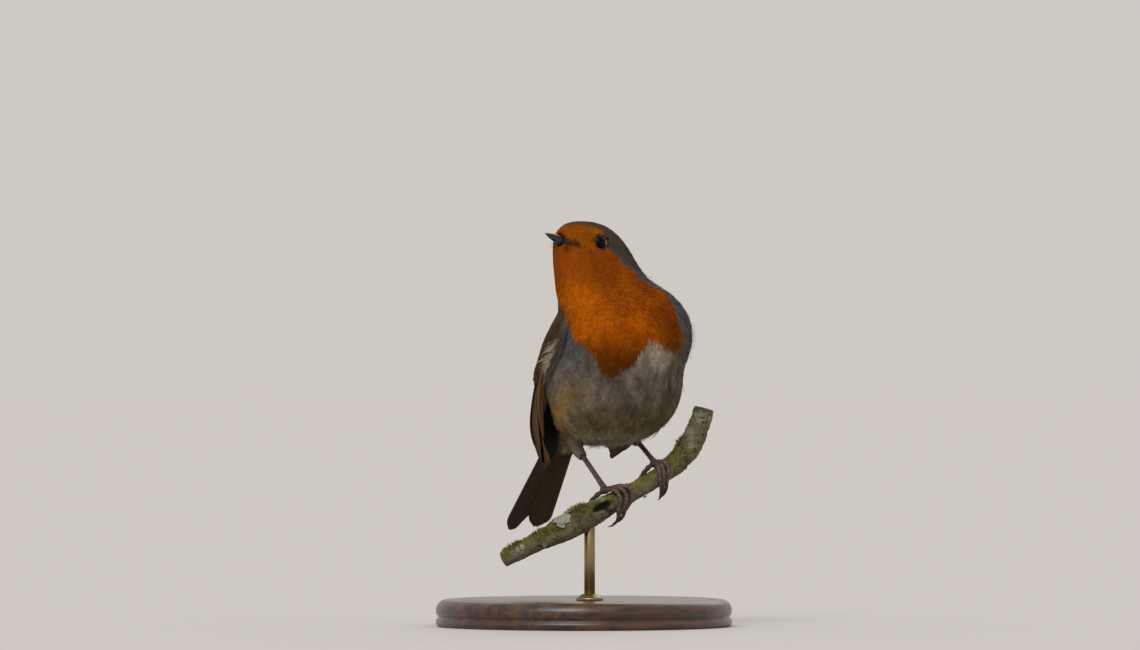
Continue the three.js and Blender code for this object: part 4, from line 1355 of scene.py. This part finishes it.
def tail_quill(place_across, layer):
    """A tail feather: its middle line fans from the tail's root to its own place across the tip;
    the longest stand three quarters of the way out, and outer ones lie lower."""
    short = 1.35 * abs((abs(place_across) - 0.74) / 0.74) ** 1.3
    reach = 1 - TAIL_NOTCH / np.linalg.norm(TAIL_LINE) * short
    reach = reach * (1 if place_across < 0 else 0.975)

    def at(a, across, lower):
        inside = np.clip(a, 0, 1)
        width = lerp(*TAIL_WIDTHS, inside**0.8) / 2
        side = place_across * (width - 2.4) + across * (0.55 + 0.45 * inside)
        arch = -1.6 * (side / width) ** 2 * (1 - 0.5 * a)
        return (TAIL_ROOT + TAIL_LINE * (a * reach)[..., None] + TAIL_ACROSS * side[..., None]
                + TAIL_UP * (arch - layer - lower)[..., None])

    shades = (lerp(TAIL_BROWN, TAIL_OLIVE, 0.6 * (1 - abs(place_across))),
              lerp(WING_EDGE, TAIL_BROWN, 0.55), TAIL_BROWN)
    outer = np.sign(place_across)
    return vane(at, 26, 2.9, 0.09, 0.2, shades, frayed=0.014, shaft_at=0.3 * outer, outer=outer)


tail_pairs = enumerate(np.linspace(0.09, 1.0, 6))
piece("tail_quills", joined([tail_quill(side * across, 0.1 + 0.19 * k)
                             for k, across in tail_pairs for side in (-1, 1)]),
      quills, ("tail",))


def tail_coverts():
    """The soft feathers over and under the tail's root: fans that lie along it, highest at the
    rump and falling to the quills."""
    many = TAIL_COVERTS
    below = np.arange(many) % 5 < 3  # three below for every two above
    face = np.where(below, -1.0, 1.0)[:, None]
    begin = chance.uniform(-9, 11, many) + np.where(below, 3, 0)
    side = chance.uniform(-1, 1, many)[:, None]
    length = chance.uniform(7, 10, many)
    reach = begin[:, None] + SHAFT_STEPS * length[:, None]
    spot = side * lerp(5.4, 6.4, ramp(reach, 0, 20)) * (1 + 0.1 * SHAFT_STEPS)
    rise = lerp(4.6, 0.8, ramp(reach, -8, 20)) * np.sqrt(np.maximum(0, 1 - 0.75 * side**2))
    rise = np.where(face < 0, -rise - TAIL_THICKNESS * 0.6, rise * 0.7 + 0.1)
    rise = rise - 1.6 * (side * 0.7) ** 2
    path = (TAIL_ROOT + unit(TAIL_LINE) * reach[..., None] + TAIL_ACROSS * spot[..., None]
            + TAIL_UP * rise[..., None])
    normal = unit(TAIL_UP * face[..., None] + TAIL_ACROSS * (side[..., None] * 0.8) + 0 * path)
    tint = blend(RUMP, UNDERTAIL, below.astype(float)[:, None])
    shape = tufts(path, normal, 3.2, 14, 0.25, -1.0, chance.uniform(-0.3, 0.3, many),
                  skin_patch(path[:, 0]), lambda at: tint)
    coat_piece("tail_coverts", shape)


tail_coverts()

# ---------------------------------------------------------------- perch

PERCH_HEADING = math.radians(-15)
# The twig's middle line: along it in plan, its height and its radius there.
TWIG = np.array([(-50, 25.5, 3.1), (-40, 30.2, 3.2), (-30, 35, 4.2), (-20, 40, 4.9),
                 (-10, 45.1, 4), (0, 50.2, 3.4), (8, 54.9, 3.5), (16, 60.6, 4.1), (22, 67.8, 4.4),
                 (25.6, 76, 4.1), (27, 81, 3.9)])
TWIG_KNOTS = np.stack([TWIG[:, 0] * math.cos(PERCH_HEADING), TWIG[:, 0] * math.sin(PERCH_HEADING),
                       TWIG[:, 1]], -1)
TWIG_ASIDE = np.array((0.0, 1.0, 0.0))
TOE_CLEARANCE = 0.055  # moss keeps this share of the twig away from a foot
KNOT_SHARES = np.linspace(0, 1, len(TWIG))
MOSS_DRAWS = 15000

MOSS_GREEN = linear("#605D2A")
MOSS_YELLOW = linear("#7C773A")
BARK_BROWN = linear("#6E674D")
BARK_GREY = linear("#7F7D6B")
# painted shade for the bark's cracks, dips and hollow
BARK_SHADE = linear("#16130D")
LICHEN_GREY = linear("#9DA096")

# The heel, the foot's place along the twig in plan, and the toes' headings in degrees.
LEGS = {
    "right": {"heel": (-14, 22, 69), "along": -11.2,
              "toes": {"inner": 44, "middle": 36, "outer": 24, "hind": -150}},
    "left": {"heel": (11.5, 23.5, 72), "along": 8.0,
             "toes": {"inner": -8, "middle": 9, "outer": 24, "hind": -150}},
}


def twig_at(way):
    """How far down the twig's curve a way along it in plan lies."""
    return np.interp(way, TWIG[:, 0], KNOT_SHARES)


def twig_radius(t):
    """The twig's plain radius, t of the way down its curve."""
    return along(TWIG[:, 2], t)


def bark_relief(points, t):
    """Height of the bark above the twig's plain radius, in millimetres: broad lumps, cross ridges
    that are strongest at the steep end, cracks where a second noise passes its middle, and grit."""
    def rough(size, seed, height):
        """Noise about 0, its cells and its height in millimetres."""
        return (noise(points, size, seed) - 0.5) * height

    rings = np.abs(noise(points * np.array((1, 1, 1.6)), 1.7, 13) - 0.5) * -1.1 * ramp(t, 0.55, 0.8)
    crack = bell(np.abs(rough(2.4, 14, 1)), 0, 0.035) * -0.4
    return (rough(7.0, 11, 0.9) + rough(3.0, 12, 0.55) + rings + crack + rough(0.8, 15, 0.28)
            + rough(0.35, 16, 0.12))


# A hollow where the bark has lifted, beside the right foot.
CAVITY_ALONG, CAVITY_LENGTH = -13.0, 2.7


def twig():
    """The twig: rings along its curve whose radius is the twig's own, plus the bark's relief, with
    a hollow under a lifted edge of bark, and rough sawn ends."""
    rows, cols = 340, 84
    t = np.linspace(0, 1, rows)
    path, radius = along(TWIG_KNOTS, t), twig_radius(t)
    plain = rings_round(path, radius, TWIG_ASIDE, cols)
    out = unit(plain - path[:, None])
    up = out[..., 2]
    t = t[:, None]
    way = np.interp(t, KNOT_SHARES, TWIG[:, 0])
    front = dot(out, np.array((-0.5, -0.866, 0.0)))
    hollow = bell(way, CAVITY_ALONG, CAVITY_LENGTH) * bell(up, 0.30, 0.24) * ramp(front, 0.1, 0.6)
    edge = bell(way, CAVITY_ALONG, CAVITY_LENGTH * 1.2) * bell(up, 0.72, 0.14)
    edge = edge * ramp(front, 0.0, 0.5)
    relief = bark_relief(plain, t) - 1.7 * hollow + 0.8 * edge
    near_ends = np.minimum(ramp(t, 0, 0.004), ramp(1 - t, 0, 0.004))
    reach = radius[:, None] * lerp(0.93, 1.0, near_ends) + relief * 0.8
    shape = tube(path[:, None] + out * reach[..., None])
    steep = ramp(t, 0.7, 0.85)
    green = ramp(up, -0.15, 0.75) * 0.85 + (noise(plain, 5.0, 21) - 0.5) * 1.1
    green = np.clip(green, 0, 1) * (1 - 0.75 * ramp(t, 0.72, 0.86))
    plates = ramp(noise(plain, 4.0, 22), 0.4, 0.7) * lerp(0.5, 1.0, steep)
    crusts = ramp(noise(plain, 3.2, 24), 0.74, 0.84) * lerp(0.5, 0.25, steep)
    colour = layered(BARK_BROWN,
                     (BARK_GREY, plates),
                     (MOSS_GREEN, green),
                     (MOSS_YELLOW, green * ramp(noise(plain, 2.0, 23), 0.5, 0.75) * 0.8),
                     (LICHEN_GREY, crusts),
                     # painted shade in the bark's low places and in the hollow under the lifted
                     # bark
                     (BARK_SHADE, np.clip(ramp(-relief, 0.15, 0.9) * 0.8 + hollow * 1.2, 0, 1)))
    shape["tint"] = capped(colour)
    shape["tint"][-2:] = linear("#8A7656")  # the sawn wood
    return shape


piece("bark_twig", twig(), bark, ("perch",))


def twig_frame(t):
    """The twig's middle at t, its heading, and the directions across it and over it."""
    path, way = along(TWIG_KNOTS, t), heading(TWIG_KNOTS, t)
    across = unit(np.cross(TWIG_ASIDE, way))
    return path, way, across, np.cross(way, across)


def moss_leaves():
    """Tiny moss leaves in cushions on the twig's upper side: each a pointed ribbon that leans out
    from the bark. They stand where a broad noise is high, and away from the toes."""
    many = MOSS_DRAWS
    t = chance.uniform(0.01, 0.99, many)
    angle = chance.uniform(0, 2 * np.pi, many)
    path, way, across, over = twig_frame(t)
    out = across * np.cos(angle)[:, None] + over * np.sin(angle)[:, None]
    root = path + out * twig_radius(t)[:, None] * 0.98
    cushion = noise(root, 4.5, 31) + 0.35 * out[:, 2]
    keep = (cushion > 0.66) & (t < 0.83) | (cushion > 0.8)
    for leg in LEGS.values():
        keep &= np.abs(t - twig_at(leg["along"])) > TOE_CLEARANCE
    root, out, way, cushion = root[keep], out[keep], way[keep], cushion[keep]
    many = len(root)
    lean = unit(out + way * chance.uniform(-0.9, 0.9, (many, 1))
                + np.cross(out, way) * chance.uniform(-0.8, 0.8, (many, 1)))
    length = (0.45 + 1.1 * ramp(cushion, 0.66, 1.0))[:, None] * chance.uniform(0.6, 1.3, (many, 1))
    half = unit(np.cross(lean, unit(chance.normal(0, 1, (many, 3))))) * 0.13
    points = ribbon(root, root + lean * length * 0.5, root + lean * length + out * 0.1,
                    half, 0.6, 1)
    shade = chance.uniform(0.55, 1.25, (many, 1, 1))
    base = blend(MOSS_GREEN, MOSS_YELLOW, chance.uniform(0, 1, many))
    tint = np.stack([base * 0.35, base * 0.35, base * 0.9, base * 0.9, base * 1.2], 1) * shade
    return ribbons(points, np.zeros((many * 5, 2)), tint)


piece("moss", moss_leaves(), moss, closed=False)


def lichen():
    """Lichen rosettes: thin crinkled discs that follow the bark, each a closed lens by rings about
    its middle, its rim waved and lobed, and curling up at the edge."""
    discs = []
    # way along the twig in plan, degrees round it, radius
    spots = [(-26.3, -70, 3.3), (-27.8, -40, 1.5), (-23.2, -88, 1.3), (-36, 20, 0.9), (2, 60, 0.8),
             (-43, -30, 0.9)]
    # share of the radius, height above the bark
    section = [(0.12, 0.32), (0.4, 0.30), (0.7, 0.34), (0.92, 0.46), (1.0, 0.42), (0.93, 0.30),
               (0.6, 0.05), (0.12, 0.0)]
    turn = circle(40)
    for way, degrees, size in spots:
        t = twig_at(way)
        path, forward, across, over = twig_frame(t)
        radius = float(twig_radius(t))
        lobes = (1 + 0.09 * np.sin(turn * 3 + way) + 0.08 * np.sin(turn * 7 + degrees)
                 + 0.07 * np.sin(turn * 13 + way * degrees))
        rings = []
        for share, height in section:
            reach = size * share * lobes
            angle = (math.radians(degrees) + reach * np.sin(turn) / radius)[:, None]
            middle = path + (reach * np.cos(turn))[:, None] * forward
            out = across * np.sin(angle) - over * np.cos(angle)
            bump = noise(middle + out * radius, 0.7, 41)[:, None] * 0.3
            rings.append(middle + out * (radius + height + bump * (share > 0.3)))
        shape = tube(np.array(rings))
        shape["tint"] = blend(linear("#6F7266"), linear("#A2A498"), noise(shape["points"], 0.6, 42))
        if not facing_out(shape["points"], shape["faces"]):
            shape["faces"] = [f[:, ::-1] for f in shape["faces"]]
        discs.append(shape)
    return joined(discs)


piece("lichen", lichen(), moss)

# ---------------------------------------------------------------- legs

TARSUS_RADIUS, TOE_RADIUS, CLAW_RADIUS, CLAW_BEND = 0.95, 0.95, 0.6, 5.0
CLAW_CURL, CLAW_SPLAY = 1.5, 0.8
CLAW_START = -0.2  # from the end of the toe's middle line
THIGH_FEATHERS = 420
TOE_WRAP = {"inner": 98, "middle": 112, "outer": 102, "hind": 92}  # degrees round the twig
SCUTE = linear("#48342B")
SCUTE_PALE = linear("#68554C")
SCUTE_DARK = linear("#231713")


def foot_point(leg, height):
    """Over the twig's middle line where a leg stands, by 1.2 radii and a height."""
    t = twig_at(leg["along"])
    return along(TWIG_KNOTS, t) + UPRIGHT * (float(twig_radius(t)) * 1.2 + height)


def shank_ends(leg):
    """A leg's heel, and the point above the twig where its toes part."""
    return np.array(leg["heel"], float), foot_point(leg, 1.9)


def scaled_tube(path, radius, aside, plates, strength=0.09):
    """A leg or toe: rings round a path, stepped into overlapping scutes. Each plate swells from its
    upper edge to its lower one and then drops back, as x - floor(x) does, more in front than
    behind, and a dark seam follows the drop."""
    facets = 26
    t = np.linspace(0, 1, len(path))[:, None]
    angle = circle(facets)[None]
    phase = t * plates + 0.12 * np.cos(angle * 2)
    part = phase - np.floor(phase)
    face = 0.55 + 0.45 * np.cos(angle)
    step = ramp(part, 0.0, 0.9) * ramp(1 - part, 0.0, 0.12) - 0.5
    shape = tube(rings_round(path, radius(t) + strength * step * face, aside, facets))
    seam = bell(np.minimum(part, 1 - part), 0, 0.09) * face
    colour = layered(SCUTE, (SCUTE_PALE, ramp(part, 0.3, 0.8) * 0.5),
                     (SCUTE_DARK, np.clip(seam * 0.75, 0, 1)))
    spot = np.stack(np.broadcast_arrays(t * 9, angle, 0.0), -1)
    shape["tint"] = capped(colour * (0.85 + 0.3 * noise(spot, 0.8, 51))[..., None])
    return shape


def shank(leg):
    """The bare leg, from the heel in the thigh's feathers to the knuckle above the foot, thicker
    at both ends as (2t - 1)^4."""
    heel, knuckle = shank_ends(leg)
    middle = (heel + knuckle) / 2 + np.array((0, 0.4, 0.5))
    path = along([heel, middle, knuckle], np.linspace(0, 1, 130))
    return scaled_tube(path, lambda t: TARSUS_RADIUS + 0.35 * (2 * t - 1) ** 4, (1.0, 0, 0), 9)


def palm(leg):
    """The foot's middle: a low ball where the toes meet."""
    polar = np.linspace(0.05, np.pi - 0.05, 26)[:, None]
    turn = circle(30)[None]
    out = np.stack([np.sin(polar) * np.cos(turn), 1.1 * np.sin(polar) * np.sin(turn),
                    0.85 * np.cos(polar) + 0 * turn], -1)
    points = foot_point(leg, 1.4) + out * 1.75
    shape = tube(points + unit(out) * ((noise(points, 0.8, 52) - 0.5) * 0.16)[..., None])
    shape["tint"] = blend(SCUTE, SCUTE_DARK, noise(shape["points"], 0.7, 53) * 0.5)
    return shape


def toe_at(leg, toward, angle):
    """A toe's middle line, in an upright plane over the twig: at each angle from the top it is one
    toe radius outside the bark. Also gives the direction square to that plane."""
    t = twig_at(leg["along"])
    middle, axis = along(TWIG_KNOTS, t), heading(TWIG_KNOTS, t)
    ahead = np.array((math.sin(math.radians(toward)), -math.cos(math.radians(toward)), 0.0))
    out = ahead * np.sin(angle)[..., None] + UPRIGHT * np.cos(angle)[..., None]
    reach = (float(twig_radius(t)) + TOE_RADIUS + 0.45) / np.sqrt(1 - (out @ axis) ** 2)
    return middle + out * reach[..., None], np.cross(UPRIGHT, ahead)


def toe(leg, name):
    """A toe with three swollen joints and four scutes to each."""
    angle = np.radians(lerp(8, TOE_WRAP[name], np.linspace(0, 1, 90)))
    path, aside = toe_at(leg, leg["toes"][name], angle)
    return scaled_tube(path, lambda t: TOE_RADIUS + 0.1 * np.cos(6 * np.pi * t) - 0.15 * t, aside,
                       13, strength=0.1)


def claw(leg, name):
    """A claw on a circular arc from the toe's end, its radius falling as 1 - 0.88 t^1.4, flattened
    sideways and ridged along its back."""
    wrap = math.radians(TOE_WRAP[name])
    ends, aside = toe_at(leg, leg["toes"][name], np.array((wrap - 0.02, wrap, wrap + 0.02)))
    onward = swung(unit(ends[2] - ends[0]), aside, -CLAW_SPLAY)
    inward = np.cross(aside, onward)
    t = np.linspace(0, 1, 46)[:, None]
    turn = t * CLAW_CURL
    path = (ends[1] + onward * (CLAW_START + CLAW_BEND * np.sin(turn))
            + inward * CLAW_BEND * (1 - np.cos(turn)))
    flat = 1 + 0.12 * np.cos(2 * circle(20)[None])
    reach = CLAW_RADIUS * 1.12 * (1 - 0.88 * t**1.4) * flat * lerp(1.2, 1.0, ramp(t, 0, 0.15))
    return tube(rings_round(path, reach + 0.03, aside, 20))


for label, leg in LEGS.items():
    piece(f"shank_{label}", shank(leg), scales, (f"tarsus_{label}",))
    piece(f"palm_{label}", palm(leg), scales, (f"foot_{label}",))
    for name in leg["toes"]:
        piece(f"{name}_toe_{label}", toe(leg, name), scales, (f"toe_{name}_{label}",))
        piece(f"{name}_claw_{label}", claw(leg, name), claw_horn, (f"claw_{name}_{label}",))


def thigh_feathers(leg, name):
    """The feathered thigh: fans on a sleeve that narrows from the flank to a third of the way down
    the shank, its radius falling as a^0.8, with pale tips at its end."""
    many = THIGH_FEATHERS
    heel, knuckle = shank_ends(leg)
    spine = [heel + np.array((0.6, -4.5, 7.5)), heel + np.array((0.2, -1.6, 2.0)),
             lerp(heel, knuckle, 0.16), lerp(heel, knuckle, 0.36)]
    begin = chance.uniform(0, 0.78, many)
    turn = chance.uniform(0, 2 * np.pi, many)[:, None, None]
    length = chance.uniform(0.22, 0.34, many)
    a = np.clip(begin[:, None] + SHAFT_STEPS * length[:, None], 0, 1)
    middle, way = along(spine, a), heading(spine, a)
    across = unit(np.cross((1.0, 0.0, 0.0), way))
    out = across * np.cos(turn) + np.cross(way, across) * np.sin(turn)
    path = middle + out * lerp(5.6, 1.25, a**0.8)[..., None]
    pale = ramp(begin + length, 0.75, 1.05)[:, None] * 0.55

    def colour(at):
        """The body's colour and the lower belly's in halves, and paler down the shank."""
        return layered(pigment(at), (BELLY_LOW, 0.5), (BELLY_WHITE, pale))

    shape = tufts(path, out, 2.2, 12, 0.2, -0.7, chance.uniform(-0.15, 0.35, many),
                  skin_patch(path[:, 0]), colour, ragged=0.35)
    coat_piece(name, shape)


for label, leg in LEGS.items():
    thigh_feathers(leg, f"thigh_feathers_{label}")


def wisps():
    """Loose barbs that stand a little off the outline: sparse narrow fans along the belly's lower
    edge, the flanks and the shoulders, their tips one or two millimetres out."""
    x, y, z = np.moveaxis(cell_middle, -1, 0)
    low = ramp(z, 84, 72) * ramp(y, 40, 30)
    shoulder = bell(z, 108, 6) * ramp(x + 3, 14, 22)
    root, patch = draw_roots(0.16 * low + 0.10 * shoulder + 0.012 * ramp(cell_reach, 22, 34))
    many = len(root)
    path, normal = shafts(root, chance.uniform(6, 9.5, many), chance.normal(0, 0.25, many))
    width, tip_level = chance.uniform(1.2, 3.0, many), chance.uniform(0.3, 1.5, many)
    shape = tufts(path, normal, width, 6, 0.13, -1.2, tip_level, patch,
                  lambda at: pigment(at) * 0.95, settle=outside, ragged=0.5)
    coat_piece("loose_wisps", shape)


wisps()

# ---------------------------------------------------------------- stand

BASE_RADIUS, BASE_HEIGHT = 55.0, 10.0
ROD_ALONG, ROD_RADIUS, ROD_SOCKET, ROD_FOOT = -17.0, 2.0, 3.0, 3.0
COLLAR_RADIUS = 5.0
COLLAR_LOW = BASE_HEIGHT + 0.03


def lathed(profile, middle, facets=128):
    """A profile of (radius, height) pairs turned about an upright axis. It closes on its first
    and last pairs."""
    profile = np.array(profile, float)
    turn = circle(facets)
    ring = np.stack([np.cos(turn), np.sin(turn), 0 * turn], -1)
    return tube(middle + profile[:, :1, None] * ring[None] + profile[:, 1:, None] * UPRIGHT)


def base():
    """A turned disc: flat foot, eased bottom edge, a shallow cove, a rounded shoulder and a fine
    bead before the flat top."""
    edge = [(1.2, 0), (0.6, 0.25), (0, 1.2), (0, 2.6), (0.7, 3.0), (0.9, 3.6), (0.6, 4.2),
            (0.15, 4.6)]
    shoulder = [(4 - 4 * math.cos(a), BASE_HEIGHT - 4 + 4 * math.sin(a))
                for a in np.linspace(0, np.pi / 2, 14)]
    groove = BASE_HEIGHT - 0.35
    bead = [(6, BASE_HEIGHT), (7, groove), (7.8, groove), (8.6, BASE_HEIGHT)]
    profile = [(BASE_RADIUS - inset, height) for inset, height in edge + shoulder + bead]
    return lathed([(1, 0), (30, 0), *profile, (30, BASE_HEIGHT), (1, BASE_HEIGHT)], -FEET_PLAN)


rod_t = twig_at(ROD_ALONG)
rod_middle = along(TWIG_KNOTS, rod_t)
rod_top = rod_middle[2] - float(twig_radius(rod_t)) * 1.1 + ROD_SOCKET
rod_foot = rod_middle * (1, 1, 0)
rod = [(0.2, ROD_FOOT), (ROD_RADIUS, ROD_FOOT), (ROD_RADIUS, rod_top - 0.3),
       (ROD_RADIUS - 0.3, rod_top), (0.2, rod_top)]
collar = [(ROD_RADIUS + 0.05, 0), (COLLAR_RADIUS - 0.1, 0), (COLLAR_RADIUS, 0.15),
          (COLLAR_RADIUS, 0.9), (COLLAR_RADIUS - 0.25, 1.1), (COLLAR_RADIUS - 0.9, 1.35),
          (ROD_RADIUS + 0.9, 2.3), (ROD_RADIUS + 0.2, 2.5), (ROD_RADIUS + 0.05, 2.5)]
piece("turned_base", base(), walnut, ("stand_base",))
piece("brass_rod", lathed(rod, rod_foot, 64), brass, ("stand_rod",))
piece("brass_collar", lathed(collar, rod_foot + UPRIGHT * COLLAR_LOW, 96), brass,
      ("stand_collar",))

# ---------------------------------------------------------------- studio

TARGET = np.array((-20.5, 11.85, 111.9))  # what the camera looks at, in the feet frame
AZIMUTH = math.radians(-30)
DISTANCE = 3518.5
LENS = 300.0
FLOOR_HALF = 12.0  # metres


def staged(name, data):
    """An object of the studio, linked into the scene."""
    made = bpy.data.objects.new(name, data)
    bpy.context.scene.collection.objects.link(made)
    return made


def sun(name, strength, way, softness):
    """A sun lamp that shines from a direction, as wide in the sky as a big diffuser."""
    lamp = bpy.data.lights.new(name, "SUN")
    lamp.energy = strength
    lamp.angle = math.radians(softness)
    staged(name, lamp).rotation_euler = Vector(way).to_track_quat("Z", "Y").to_euler()


floor_mesh = bpy.data.meshes.new("floor")
floor_corners = [(x * FLOOR_HALF, y * FLOOR_HALF, 0)
                 for x, y in ((-1, -1), (1, -1), (1, 1), (-1, 1))]
floor_mesh.from_pydata(floor_corners, [], [(0, 1, 2, 3)])
floor_mesh.materials.append(paper)
floor = staged("floor", floor_mesh)

world = bpy.data.worlds.new("studio")
bpy.context.scene.world = world
world.use_nodes = True
sky = world.node_tree.nodes["Background"].inputs
sky["Color"].default_value = rgba("#CFC9C4")
sky["Strength"].default_value = 1.0

sun("key", 1.08, (-0.9, -0.75, 1.25), 30)
sun("spark", 0.17, (-0.75, -0.9, 1.2), 3)  # the small light in the eyes
sun("rim", 0.35, (0.9, 0.9, 1.0), 40)

camera = bpy.data.cameras.new("camera")
camera.lens = LENS
camera.sensor_width = 36.0
camera.clip_start, camera.clip_end = 0.1, 60.0
viewer = staged("camera", camera)
back = np.array((math.sin(AZIMUTH), -math.cos(AZIMUTH), 0.0))
viewer.location = Vector(place(TARGET + back * DISTANCE))
viewer.rotation_euler = Vector(-back).to_track_quat("-Z", "Y").to_euler()
bpy.context.scene.camera = viewer

bpy.context.scene.view_settings.view_transform = "Standard"
